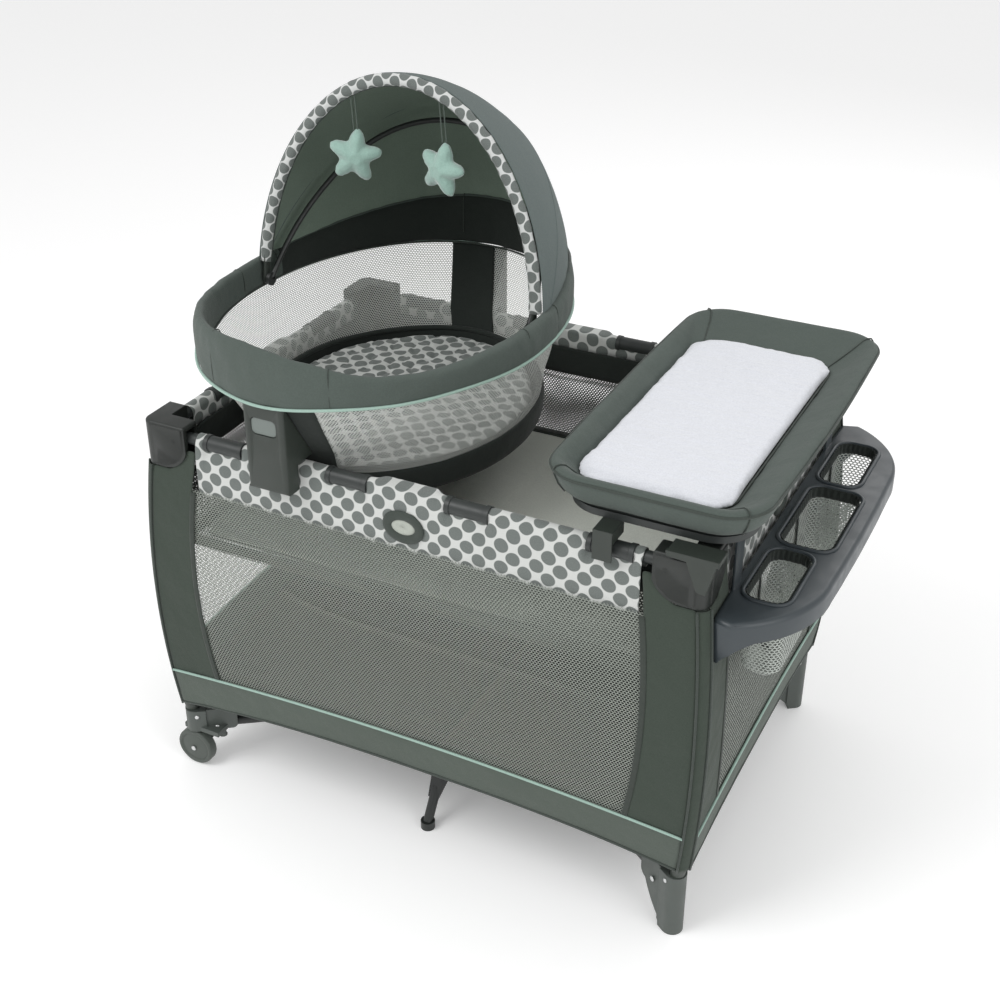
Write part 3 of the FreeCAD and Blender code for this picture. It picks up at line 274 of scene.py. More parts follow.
def netting(name, thread, pitch, hole):
    """Knitted net: staggered oval holes that are really see-through."""
    thread = srgb(thread)
    n = Nodes(name, 0.8, 0.2, 0.3)
    where = n.coords("UV")
    inside, far = spots(n, where, pitch[0], pitch[1], hole[0], hole[1], 0.16)
    tone = n.mix(n.noise(where, 260.0, 2.0), scaled(thread, 0.75), scaled(thread, 1.15))
    n.join(n.math("SUBTRACT", 1.0, inside), n.bsdf.inputs["Alpha"])
    return n.shade(tone, n.bump(n.ramp(far, 0.8, 2.0), 0.4, 0.0006))


def plastic(name, colour, rough=0.42, bevel=0.0012, grain=1.0):
    """Moulded plastic: rounded edges, a fine grain, and faint handling marks."""
    colour = srgb(colour)
    n = Nodes(name, rough)
    where = n.coords("Object")
    cloud = n.noise(where, 6.0, 3.0)
    edge = n.add("Bevel", samples=4)
    edge.inputs["Radius"].default_value = bevel
    grain_bump = n.bump(n.noise(where, 1400.0, 2.0), 0.08 * grain, 0.0004, edge.outputs[0])
    roughness = n.ramp(n.noise(where, 35.0, 4.0), 0.25, 0.75, rough - 0.05, rough + 0.07)
    tone = n.mix(cloud, scaled(colour, 0.93), scaled(colour, 1.07))
    return n.shade(tone, grain_bump, roughness)


def steel(name):
    colour = (0.75, 0.76, 0.76)         # linear
    n = Nodes(name, 0.28, metallic=1.0)
    where = n.coords("Object")
    return n.shade(n.mix(n.noise(where, 300.0, 2.0), scaled(colour, 0.85), colour),
                   n.bump(n.noise(where, 900.0, 2.0), 0.1, 0.0002))


M = {
    "grey": fabric("grey_fabric", (86, 94, 87)),
    "panel": fabric("panel_fabric", (61, 70, 62), soft_folds=0.35),
    "rim": fabric("rim_fabric", (82, 91, 86), pitch=0.0010, soft_folds=0.35),
    "lining": fabric("dark_lining", (42, 47, 44), soft_folds=0.3),
    "hood": fabric("hood_outer", (101, 111, 109), pitch=0.0009, rough=0.75, sheen=0.0, soft_folds=0.25),
    # hood_inner: the lining's own tone lifted with painted light, standing in for light that shines through the
    # hood's cloth
    "hood_in": fabric("hood_inner", (124, 139, 126), pitch=0.0009, rough=0.75, soft_folds=0.25),
    "piping": fabric("grey_piping", (62, 69, 64), pitch=0.0016, rough=0.6, uneven=0.05),
    "mint": fabric("mint_piping", (160, 186, 175), pitch=0.0016, uneven=0.05),
    "seam": fabric("seam_tape", (58, 64, 59), pitch=0.0022, rough=0.75, uneven=0.05),
    "eye": fabric("eye_fabric", (178, 183, 174), uneven=0.05),
    # mattress_fabric: the cover's own pale tone lifted to near-white with painted light, to offset the shade between
    # the bassinet and the changer
    "floor_pad": fabric("mattress_fabric", (232, 236, 226), pitch=0.0012, uneven=0.05, soft_folds=0.3),
    "white": fabric("white_pad", (221, 223, 229), pitch=0.0014, sheen=0.5, uneven=0.02, soft_folds=0.25),
    "plush": fabric("star_plush", (150, 181, 170), pitch=0.0018, sheen=0.8, uneven=0.07, soft_folds=0.6),
    "dots": dotted("dotted_fabric", (205, 207, 204), (108, 114, 111)),
    "bow_dots": dotted("bow_dots", (208, 210, 208), (106, 112, 109), (0.0302, 0.0165), (0.0108, 0.0098)),
    "ribbon": fabric("grey_ribbon", (80, 90, 84), pitch=0.0014, rough=0.6),
    "net": netting("wall_net", (143, 149, 141), (0.0058, 0.0040), (0.0023, 0.00163)),
    "net_dark": netting("insert_net", (80, 85, 79), (0.0058, 0.0040), (0.0017, 0.0012)),
    "net_pale": netting("basket_net", (206, 209, 204), (0.0050, 0.0034), (0.0019, 0.0013)),
    "net_pocket": netting("pocket_net", (178, 184, 178), (0.0066, 0.0046), (0.0025, 0.0018)),
    "tube": plastic("frame_tube", (62, 68, 63), 0.38, bevel=0.0004),
    "black_tube": plastic("black_tube", (38, 41, 40), 0.4, bevel=0.0004),
    "plastic": plastic("dark_plastic", (47, 53, 48), 0.45, bevel=0.003),
    "cap": plastic("cap_plastic", (32, 36, 33), 0.42, bevel=0.003),
    "foot": plastic("foot_plastic", (78, 84, 80), 0.45, bevel=0.002),
    "black": plastic("black_plastic", (46, 50, 49), 0.45),
    "blue": plastic("blue_grey_plastic", (57, 64, 68), 0.36, bevel=0.0022, grain=0.5),
    "button": plastic("button_plastic", (110, 118, 114), 0.4),
    "wheel": plastic("wheel_plastic", (76, 82, 77), 0.5, bevel=0.0015),
    "steel": steel("rivet_steel"),
}


# ---------------------------------------------------------------- mesh builders
def link(name, mesh, material):
    thing = bpy.data.objects.new(name, mesh)
    bpy.context.scene.collection.objects.link(thing)
    for one in material if isinstance(material, (list, tuple)) else (material,):
        mesh.materials.append(M[one])
    mesh.polygons.foreach_set("use_smooth", [True] * len(mesh.polygons))
    return thing


def surface(name, points, material, round_u=False, round_v=False, thick=0.0, smooth=1, zone=None, offset=-1.0,
            ends=False):
    """A sheet through a grid of points[row][column] in millimetres, with a flat pattern laid out in metres.

    zone(row, column) picks each face's material; ends closes the first and last rows, for a tube.
    """
    points = np.asarray(points, float)
    rows, cols = points.shape[:2]
    wide, high = cols if round_u else cols - 1, rows if round_v else rows - 1
    faces = [(j * cols + i, j * cols + (i + 1) % cols, ((j + 1) % rows) * cols + (i + 1) % cols,
              ((j + 1) % rows) * cols + i) for j in range(high) for i in range(wide)]
    if ends:
        faces += [tuple(reversed(range(cols))), tuple(range((rows - 1) * cols, rows * cols))]
    mesh = bpy.data.meshes.new(name)
    mesh.from_pydata(to_frame(points).reshape(-1, 3).tolist(), [], faces)
    loop_u = np.concatenate([points, points[:, :1]], 1) if round_u else points
    loop_v = np.concatenate([points, points[:1]], 0) if round_v else points
    steps_u = np.linalg.norm(np.diff(loop_u, axis=1), axis=2).mean(0)
    steps_v = np.linalg.norm(np.diff(loop_v, axis=0), axis=2).mean(1)
    us, vs = (np.concatenate([[0], np.cumsum(steps)]) / 1000 for steps in (steps_u, steps_v))
    flat = np.zeros((len(mesh.loops), 2))
    corners = [(us[i + di], vs[j + dj]) for j in range(high) for i in range(wide)
               for di, dj in ((0, 0), (1, 0), (1, 1), (0, 1))]
    flat[:len(corners)] = corners
    mesh.uv_layers.new(name="flat").data.foreach_set("uv", flat.ravel())
    thing = link(name, mesh, material)
    if zone:
        mesh.polygons.foreach_set("material_index", [zone(j, i) for j in range(high) for i in range(wide)])
    if smooth:
        modifier = thing.modifiers.new("smooth", "SUBSURF")
        modifier.levels = modifier.render_levels = smooth
    if thick:
        modifier = thing.modifiers.new("cloth", "SOLIDIFY")
        modifier.thickness, modifier.offset = thick / 1000, offset
        modifier.use_rim = True
    return thing


def strand(name, path, radius, material, closed=False, sides=8, flat=1.0, up=(0, 0, 1)):
    """A round or oval strand along a path in millimetres."""
    path = np.asarray(path, float)
    count = len(path)
    ahead = np.roll(path, -1, 0) - np.roll(path, 1, 0) if closed else np.gradient(path, axis=0)
    ahead /= np.maximum(np.linalg.norm(ahead, axis=1, keepdims=True), 1e-9)
    side = np.zeros_like(path)
    guide = np.array(up, float)
    for k in range(count):
        across = np.cross(ahead[k], guide)
        if np.linalg.norm(across) < 0.15:
            across = side[k - 1] if k else np.cross(ahead[k], (1.0, 0.3, 0.0))
        across -= ahead[k] * across.dot(ahead[k])
        side[k] = across / np.linalg.norm(across)
    over = np.cross(side, ahead)
    radii = np.broadcast_to(np.asarray(radius, float), (count,))
    turns = turn(sides)
    ring = (path[:, None] + side[:, None] * (np.cos(turns)[None, :, None] * radii[:, None, None])
            + over[:, None] * (np.sin(turns)[None, :, None] * radii[:, None, None] * flat))
    return surface(name, ring, material, round_u=True, round_v=closed, smooth=0, ends=not closed)


def dome(name, middle, normal, radius, height, material):
    """A low rounded rivet head."""
    normal = Vector(normal).normalized()
    across = normal.orthogonal().normalized()
    other = normal.cross(across)
    rings = [[Vector(middle) + (across * cos(t) + other * sin(t)) * (radius * cos(a) + 0.01)
              + normal * (height * sin(a)) for t in turn(20)] for a in np.linspace(0, pi / 2, 6)]
    return closed_pad(name, rings, material)


def closed_pad(name, rings, material):
    """A closed pad lofted through loops, with a filled top and bottom."""
    count = len(rings[0])
    verts = np.concatenate([np.asarray(r, float) for r in rings])
    faces = [(k * count + i, k * count + (i + 1) % count, (k + 1) * count + (i + 1) % count, (k + 1) * count + i)
             for k in range(len(rings) - 1) for i in range(count)]
    faces += [tuple(reversed(range(count))), tuple(range((len(rings) - 1) * count, len(rings) * count))]
    mesh = bpy.data.meshes.new(name)
    mesh.from_pydata(to_frame(verts).tolist(), [], faces)
    return link(name, mesh, material)


def sewn(thing):
    """Reads a cloth's flat pattern from its mesh, and hands the cloth back unchanged."""
    coords = np.array([l.uv[:] for l in thing.data.uv_layers[0].data])
    return thing


def place(thing, body, slot, *nodes):
    if body == "canopy":  # the canopy's cloth keeps its place in the world and is not attached to a body
        tuple(to_frame([BAS_X, 58.0, 1235.0]))
        tuple(to_frame([BAS_X, 395.0, 945.0]))
        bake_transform(thing)
    else:
        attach(thing, body)
    if nodes:
        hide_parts(*nodes)
    return thing


def inflate(thing, pressure, cap, voxel, frames, stiff=15.0):
    """Blows a closed mesh up a little as cloth, holds each point near where it began, and keeps the result."""
    bpy.context.view_layer.objects.active = thing
    remesh = thing.modifiers.new("remesh", "REMESH")
    remesh.mode, remesh.voxel_size, remesh.use_smooth_shade = "VOXEL", voxel, True
    bake_modifiers(thing)
    start = np.array([v.co for v in thing.data.vertices])
    cloth = thing.modifiers.new("cloth", "CLOTH")
    settings = cloth.settings
    settings.use_pressure, settings.uniform_pressure_force = True, pressure
    settings.effector_weights.gravity = 0.0
    settings.tension_stiffness = settings.compression_stiffness = stiff
    settings.bending_stiffness = 0.5
    settings.quality = 4
    scene = bpy.context.scene
    scene.frame_start, scene.frame_end = 1, frames
    for number in range(1, frames + 1):
        scene.frame_set(number)
    bake_modifiers(thing)
    scene.frame_set(1)
    step = np.array([v.co for v in thing.data.vertices]) - start
    length = np.linalg.norm(step, axis=1, keepdims=True)
    moved = start + step * np.minimum(1.0, cap / np.maximum(length, 1e-9))
    thing.data.vertices.foreach_set("co", moved.ravel())
    thing.data.polygons.foreach_set("use_smooth", [True] * len(thing.data.polygons))


def bake_modifiers(thing):
    """Replaces the mesh by what its modifiers make of it."""
    graph = bpy.context.evaluated_depsgraph_get()
    graph.update()
    done = bpy.data.meshes.new_from_object(thing.evaluated_get(graph), depsgraph=graph)
    thing.modifiers.clear()
    thing.data = done


def displace(thing, move):
    """Moves each point by move(point in yard millimetres), also in millimetres."""
    co = np.array([v.co for v in thing.data.vertices]) * 1000
    co[:, 0] += SHIFT * 1000
    shifts = np.array([move(c) for c in co])
    thing.data.vertices.foreach_set("co", to_frame(co + shifts).ravel())
    thing.data.update()


def flat_pattern(thing, axes=(0, 1)):
    """Lays the cloth pattern straight down on a pad, in metres."""
    mesh = thing.data
    for layer in list(mesh.uv_layers):
        mesh.uv_layers.remove(layer)
    layer = mesh.uv_layers.new(name="flat")
    co = np.array([v.co for v in mesh.vertices])
    loops = np.array([l.vertex_index for l in mesh.loops])
    layer.data.foreach_set("uv", co[loops][:, list(axes)].ravel())


def rounded_loop(x0, x1, y0, y1, radius, count, z=0.0):
    """Evenly spaced points round a rectangle with rounded corners, anticlockwise from above."""
    pieces = []
    low_x, high_x, low_y, high_y = x0 + radius, x1 - radius, y0 + radius, y1 - radius
    for cx, cy, quarter in ((high_x, high_y, 0), (low_x, high_y, 1), (low_x, low_y, 2), (high_x, low_y, 3)):
        for a in np.linspace(0, pi / 2, 16) + quarter * pi / 2:
            pieces.append((cx + radius * cos(a), cy + radius * sin(a)))
    pieces = np.array(pieces + pieces[:1])
    lengths = np.concatenate([[0], np.cumsum(np.linalg.norm(np.diff(pieces, axis=0), axis=1))])
    spots_along = np.linspace(0, lengths[-1], count, endpoint=False)
    loop = np.stack([np.interp(spots_along, lengths, pieces[:, k]) for k in (0, 1)], 1)
    return np.column_stack([loop, np.full(count, z)])


def inset_loop(loop, inset, z):
    """The loop moved inwards along its normals, at height z."""
    ahead = np.roll(loop, -1, 0) - np.roll(loop, 1, 0)
    normal = np.stack([-ahead[:, 1], ahead[:, 0]], 1)
    normal /= np.linalg.norm(normal, axis=1, keepdims=True)
    out = loop.copy()
    out[:, :2] += normal * inset
    out[:, 2] = z
    return out


def smooth_once(thing):
    """One level of subdivision, kept in the mesh."""
    modifier = thing.modifiers.new("finer", "SUBSURF")
    modifier.levels = modifier.render_levels = 1
    bake_modifiers(thing)
    thing.data.polygons.foreach_set("use_smooth", [True] * len(thing.data.polygons))


def pad(name, rings, material, blow, move, where, finer=True, axes=(0, 1)):
    """A padded piece: lofted, blown up by blow = (pressure, cap, voxel, frames[, stiff]), then quilted by move()."""
    thing = closed_pad(name, rings, material)
    inflate(thing, *blow)
    if finer:
        smooth_once(thing)
    displace(thing, move)
    flat_pattern(thing, axes)
    place(thing, *where)


def wrinkle(point, scale, seed):
    return noise.fractal(Vector(point) / scale + Vector((seed, 0, 0)), 1.0, 2.0, 3)


def bow_out(z):
    half, middle = (LEG_HIGH - LEG_LOW) / 2, (LEG_HIGH + LEG_LOW) / 2
    bend = half ** 2 / (2 * LEG_BOW) + LEG_BOW / 2
    reach = min(abs(z - middle), half)
    return sqrt(bend ** 2 - reach ** 2) - (bend - LEG_BOW)


def leg_at(z):
    out = bow_out(z)
    return LEG_X + out * cos(DIAGONAL), LEG_Y + out * sin(DIAGONAL)


# ---------------------------------------------------------------- finishes of the carried-over CAD nodes
FINISH = {
    "tube": ["leg_tube_"], "black_tube": ["base_tube_", "support_leg_", "canopy_bow_middle", "bassinet_rim_tube"],
    "plastic": ["bassinet_bracket_", "changer_arms"], "cap": ["corner_cap_"], "foot": ["foot_", "wheel_bracket_"],
    "black": ["rail_", "centre_hub", "changer_frame"], "wheel": ["wheel_front", "wheel_rear"],
    "button": ["latch_button_", "release_lever_"], "blue": ["organizer_tray"],
}
for finish_name, starts in FINISH.items():
    for node_name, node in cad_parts.items():
        if any(node_name.startswith(start) for start in starts):
            for one_slot in node.material_slots:
                one_slot.material = M[finish_name]


def rounded_copy(name, node_name, body, slot, material, pick, radius, segments=4):
    """A copy of a CAD node with the edges that pick() chooses rounded off; it takes the node's place."""
    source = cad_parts[node_name]
    mesh = source.data.copy()
    mesh.transform(source.matrix_world)
    shape = bmesh.new()
    shape.from_mesh(mesh)
    bmesh.ops.remove_doubles(shape, verts=shape.verts, dist=2e-5)
    bmesh.ops.dissolve_limit(shape, angle_limit=0.01, verts=shape.verts, edges=shape.edges)
    chosen = []
    for edge in shape.edges:
        if len(edge.link_faces) == 2 and edge.calc_face_angle(0.0) > 0.6:
            middle = (edge.verts[0].co + edge.verts[1].co) * 500.0
            middle.x += SHIFT * 1000
            if pick(middle, [face.normal for face in edge.link_faces]):
                chosen.append(edge)
    bmesh.ops.bevel(shape, geom=chosen, offset=radius / 1000, segments=segments, profile=0.5, affect="EDGES",
                    clamp_overlap=False)
    shape.to_mesh(mesh)
    shape.free()
    mesh.materials.clear()
    for polygon in mesh.polygons:
        polygon.material_index = 0
    thing = link(name, mesh, material)
    mesh.set_sharp_from_angle(angle=radians(32))
    return place(thing, body, slot, node_name)


def faces_out(normals, *wanted):
    """Whether each wanted direction is that of one of the two faces."""
    return all(any(n.dot(Vector(w)) > 0.9 for n in normals) for w in wanted)


rounded_copy("organizer_body", "organizer_tray", "organizer", "blue_plastic", "blue",
             lambda m, n: m.z > 639.0 and (m.x > 616.0 or abs(m.y) > 276.0) and faces_out(n, (0, 0, 1)), 9.0, 5)
for corner_name in CORNERS:
    rounded_copy(f"cap_{corner_name}", f"corner_cap_{corner_name}", f"leg_{corner_name}", "dark_plastic", "cap",
                 lambda m, n: m.z > 736.0 and faces_out(n, (0, 0, 1)) and (
                     abs(m.x) > LEG_X + 1 or abs(m.y) > LEG_Y + 1), 4.5)
for end_name, end_sign in (("front", -1), ("rear", 1)):
    rounded_copy(f"bracket_{end_name}", f"bassinet_bracket_{end_name}", "bassinet", "dark_plastic", "plastic",
                 lambda m, n: faces_out(n, (0, end_sign, 0)) and abs(m.y) > 391.0 and (
                     faces_out(n, (1, 0, 0)) or faces_out(n, (-1, 0, 0))) and abs(m.x - BAS_X + 5.0) > 30.0, 7.0)


# ---------------------------------------------------------------- the four walls of the tub
BAND_LOW, BAND_HALF_X, BAND_HALF_Y = 618.0, 398.0, 262.0
NET_HALF_X, NET_HALF_Y = 418.0, 278.0
HEM_LOW, HEM_HIGH = 181.0, 247.0        # lower and upper edge of the hem at the middle of a side
PANEL_TOP = 653.0
INSERT_LOW, INSERT_SPLIT, INSERT_TOP = 491.0, 643.0, 690.0     # the insert's net, and the dark lining above it
LINING_LOW, LATCH_HALF = 640.0, 58.0
RING_Z = 661.0                          # middle of the oval loop round each latch button
SIDES = {  # name: the axis along the side, which side of the middle it is on, its body, and that axis as a vector, which no squash uses
    "front": ("x", -1, "leg_front_left", (1, 0, 0)), "rear": ("x", 1, "leg_rear_left", (1, 0, 0)),
    "left": ("y", -1, "leg_front_left", (0, 1, 0)), "right": ("y", 1, "leg_front_right", (0, 1, 0)),
}
# where the rail clips stand, on the long sides (True) and on the short ones
CLIPS = {True: ((-383, -308), (-145, -70), (70, 145), (308, 383)), False: ((-195, -120), (120, 195))}


class Side:
    """One wall. t is millimetres along it from its middle, to the right as seen from outside."""

    def __init__(self, name):
        self.name = name
        along, self.sign, self.body, self.axis = SIDES[name]
        self.long = along == "x"
        self.band_half = BAND_HALF_X if self.long else BAND_HALF_Y
        self.rail, self.reach = (LEG_Y, LEG_X) if self.long else (LEG_X, LEG_Y)
        self.flip = -1 if (self.sign > 0) == self.long else 1

    def half(self, z):
        return leg_at(z)[0 if self.long else 1]

    def flat(self, t, z, depth):
        """A point at a given depth out from the middle of the yard."""
        t *= self.flip
        return (t, self.sign * depth, z) if self.long else (self.sign * depth, t, z)

    def spot(self, t, z, out=0.0):
        """A point that stands out from the bowed face of the legs."""
        return self.flat(t, z, leg_at(min(max(z, LEG_LOW), LEG_HIGH))[1 if self.long else 0] + SLEEVE + out)

    def window(self, z):
        """Where the net's side edge is."""
        return (NET_HALF_X if self.long else NET_HALF_Y) - 27.0 * ((z - 455.0) / 250.0) ** 2

    def hem_low(self, t):
        return HEM_LOW - 31.0 * (abs(t) / self.half(FLOOR_Z)) ** 2.6

    def hem_high(self, t):
        return HEM_HIGH - 21.0 * (abs(t) / self.half(FLOOR_Z)) ** 2.0

    def at_clip(self, t):
        """1 where a rail clip stands, 0 elsewhere."""
        return max(clamp((t - low + 3) / 5) * clamp((high + 3 - t) / 5) for low, high in CLIPS[self.long])

    def fix(self, thing, slot="grey_fabric", node="yard_fabric", cut=False):
        place(thing, self.body, slot, node)
        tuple(self.axis)
        tuple(to_frame([-LEG_X, -LEG_Y, 400.0]))
        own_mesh(thing)
        if cut:
            sewn(thing)


def net_window(side):
    def spot(u, v):
        low = side.hem_high(u * (side.window(235.0 + v * (BAND_LOW + 8 - 235.0)) + 3)) - 3
        z = low + v * (BAND_LOW + 8 - low)
        t = u * (side.window(z) + 3)
        sag = -3.5 * sin(pi * v) * (1 - u * u) + 1.2 * wrinkle((t, z, 0), 130.0, 3.0 + side.sign)
        return side.spot(t, z, -2.0 + sag)
    points = grid(spot, np.linspace(-1, 1, 97 if side.long else 69), np.linspace(0, 1, 45))
    side.fix(surface(f"net_{side.name}", points, "net", smooth=0), "net_fabric", cut=True)


def corner_panels(side):
    """The plain cloth between each leg's sleeve and the net, and the taped seam along the net."""
    for end, label in ((-1, "left"), (1, "right")):
        def panel(u, v):
            low = side.hem_high(end * 440)
            height = low - 2 + v * (PANEL_TOP - low + 2)
            start, stop = side.window(height) - 2, side.half(height)
            t = start + (stop - start) * u
            top = PANEL_TOP + 42.0 * clamp((side.half(690.0) - 32.0 - t) / 34.0)    # it rises beside the band
            height = side.hem_high(t) - 2 + v * (top - side.hem_high(t) + 2)
            soft = 1.6 * wrinkle((t, height, 0), 60.0, 11.0 + end) * sin(pi * u)
            return side.spot(end * t, height, soft - 2.5 * clamp((height - 640.0) / 15.0))

        def tape(across, z):
            return side.spot(end * (side.window(z) + across), z, 0.9 + 0.5 * sin(pi * (across + 5) / 10))
        points = grid(panel, np.linspace(0, 1, 13)[::end], np.linspace(0, 1, 41))
        side.fix(surface(f"panel_{side.name}_{label}", points, "panel", thick=1.2), cut=True)
        heights = np.linspace(side.hem_high(side.window(240)) + 1, BAND_LOW + 4, 44)
        points = grid(tape, np.linspace(-5, 5, 5)[::end], heights)
        side.fix(surface(f"seam_{side.name}_{label}", points, "seam", thick=0.8, smooth=0), cut=True)


def hem(side):
    def spot(u, v):
        t = u * side.half(FLOOR_Z + 30)
        low, high = side.hem_low(t), side.hem_high(t)
        z = low + v * (high - low)
        soft = 2.2 * wrinkle((t, z * 2, 0), 90.0, 31.0 + side.sign) * sin(pi * (0.15 + 0.7 * v))
        return side.spot(u * side.half(z), z, 0.6 + soft)
    points = grid(spot, np.linspace(-1, 1, 81), np.linspace(0, 1, 9))
    side.fix(surface(f"hem_{side.name}", points, "grey", thick=1.4), cut=True)
    for label, level, edge, out, radius, material, slot, flat in (
            ("piping_mint", 240, side.hem_high, 2.0, 2.3, "mint", "star_plush", 1.0),
            ("binding", 170, side.hem_low, 0.6, 2.0, "piping", "grey_fabric", 1.4)):
        line = [side.spot(u * side.half(level), edge(u * side.half(level)), out) for u in np.linspace(-1, 1, 90)]
        side.fix(strand(f"{label}_{side.name}", line, radius, material, flat=flat), slot)


def dotted_band(side):
    """The printed band: up the outside, over the rail and down its inside, with room left for each rail clip."""
    outside, arch_radius = side.rail + SLEEVE, 12.6
    profile = [(0.0, BAND_LOW), (0.4, BAND_LOW + 10), (0.8, 645.0), (0.6, 668.0), (0.0, 686.0), (-1.0, 700.0),
               (-3.4, 712.0)]
    arch = [(cos(a), sin(a)) for a in np.linspace(0.35, pi, 11)]

    def spot(t, index):
        clip, latch = side.at_clip(t), clamp((LATCH_HALF - abs(t)) / 12.0)
        if index < len(profile):
            out, z = profile[index]
            scallop = (1.0, 0.4)[index] * 3.0 * sin(t / 25.0 * 2 * pi) if index < 2 else 0.0
            z += scallop * 0.8
            out += 1.4 * wrinkle((t, z, 0), 55.0, 51.0 + side.sign) + 0.35 * scallop
            if index >= 4:
                out -= (8.0 if index > 4 else 3.0) * clip
                z -= (9.0 if index > 4 else 2.0) * clip
                out += max(0.0, -0.4 - out) * latch
            return side.flat(t, z, outside + out)
        if index < len(profile) + len(arch):        # round over the rail, squared over the latch
            across, up = arch[index - len(profile)]
            slim = arch_radius * (1 - 0.16 * clip) * (1 - latch)
            depth = across * slim + copysign(abs(across) ** 0.4, across) * 17.6 * latch
            height = up * slim + max(0.0, up) ** 0.4 * 14.8 * latch
            return side.flat(t, RAIL_Z + 1 + height, outside - 5.5 - arch_radius + depth)
        return side.flat(t, 684.0 + 1.5 * sin(t / 31.0), outside - 30.5 - 4.0 * latch)
    cols = np.linspace(-side.band_half, side.band_half, int(side.band_half / 2.6))
    points = grid(spot, cols, range(len(profile) + len(arch) + 1))
    side.fix(surface(f"band_{side.name}", points, "dots", thick=1.0), "dotted_fabric", cut=True)


def rail_ring(side):
    """The oval loop in the middle of the band, round the latch's release button."""
    def loop(a, b, out):
        return [side.flat(a * cos(t), RING_Z + b * sin(t), side.rail + SLEEVE + out) for t in turn(48)]
    up = (0, side.sign, 0) if side.long else (side.sign, 0, 0)
    side.fix(strand(f"latch_ring_{side.name}", loop(29, 21, 1.6), 8.5, "piping", closed=True, sides=10, flat=0.42,
                    up=up))
    eye = [loop(k * 24, k * 16, 2.2) for k in (1.0, 0.6, 0.02)]
    side.fix(surface(f"latch_eye_{side.name}", eye, "eye", round_u=True, thick=0.6, smooth=0), "mattress_fabric")


def corner_sleeve(corner, sx, sy):
    """Cloth wrapped round the outside of a leg, with a corded seam where each wall meets it."""
    def spot(a, z, out=SLEEVE):
        cx, cy = leg_at(z)
        return sx * (cx + out * sin(a)), sy * (cy + out * cos(a)), z
    heights, where = np.linspace(FLOOR_Z - 4, PANEL_TOP, 46), (f"leg_{corner}", "grey_fabric", "yard_fabric")
    points = grid(spot, np.linspace(-0.06, pi / 2 + 0.06, 11)[::sx * sy], heights)
    sewn(place(surface(f"sleeve_{corner}", points, "panel", thick=1.2, offset=1.0), *where))
    for k, a in enumerate((0.12, pi / 2 - 0.12)):
        path = [spot(a, z, SLEEVE + 1.4) for z in heights]
        place(strand(f"cord_seam_{corner}_{k}", path, 2.1, "piping"), *where)


def floor_quarter(corner, sx, sy):
    """A quarter of the tub's floor, on its base tube."""
    side_x, side_y = Side("front"), Side("left")
    reach, leg = leg_at(175.0), Vector(leg_at(160.0))

    def spot(u, v):
        x, y = u * (reach[0] + SLEEVE - 1.5), v * (reach[1] + SLEEVE - 1.5)
        from_leg = Vector((x, y)) - leg
        if from_leg.x > 0 and from_leg.y > 0 and from_leg.length > SLEEVE - 2:
            x, y = leg + from_leg.normalized() * (SLEEVE - 2)
        x, y = sx * x, sy * y
        target = side_x.hem_low(x) if v >= u else side_y.hem_low(y)
        return x, y, FLOOR_Z + 2 + max(u, v) ** 8 * (target - FLOOR_Z)
    points = grid(spot, np.linspace(0, 1, 15)[::sx * sy], np.linspace(0, 1, 15))
    thing = surface(f"floor_{corner}", points, "lining", thick=1.2, smooth=0)
    place(thing, f"base_{corner}", "grey_fabric", "yard_fabric")
    tuple(to_frame([0, 0, FLOOR_Z]))
    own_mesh(thing)
    sewn(thing)


def insert_wall(side):
    """Inside of the rail: a dark band, a net from there down to the mattress, and a taped ledge under the net."""
    inside = side.rail - 16.5

    def soft(t, z):
        return 1.4 * wrinkle((t, z, 0), 70.0, 71.0 + side.sign)

    def lining(t, z):
        rise = 60.0 * clamp((side.reach - 44.0 - abs(t)) / 40.0) * (z - LINING_LOW) / (INSERT_TOP - LINING_LOW)
        return side.flat(t, min(z, 636.0 + rise), inside - 2.0 + soft(t, z))

    def net(t, z):
        return side.flat(t, z, inside - 2.0 + soft(t, z) + 12.0 * min(1.0, (INSERT_SPLIT - z) / 30.0) - 0.8)

    def ledge(t, share):
        return side.flat(t * share, 497.0 + 2.0 * (share < 1), inside + (-13.0 if share < 1 else 11.0))
    for part, spot, trim, cols, rows, material, slot, thick in (
            ("lining", lining, 24.0, 81, np.linspace(LINING_LOW, INSERT_TOP, 9), "lining", "grey_fabric", 1.0),
            ("net", net, 10.0, 81, np.linspace(INSERT_LOW, INSERT_SPLIT, 21), "net_dark", "net_fabric", 0.0),
            ("ledge", ledge, 10.0, 41, (1.0, 0.985), "seam", "grey_fabric", 1.0)):
        points = grid(spot, np.linspace(trim - side.reach, side.reach - trim, cols), rows)
        thing = surface(f"insert_{part}_{side.name}", points, material, thick=thick, smooth=0)
        side.fix(thing, slot, "raised_insert", cut=True)


for side_name in SIDES:
    wall = Side(side_name)
    for build in (net_window, corner_panels, hem, dotted_band, rail_ring):
        build(wall)
for corner_name, signs in CORNERS.items():
    corner_sleeve(corner_name, *signs)
    floor_quarter(corner_name, *signs)
for side_name in SIDES:
    insert_wall(Side(side_name))


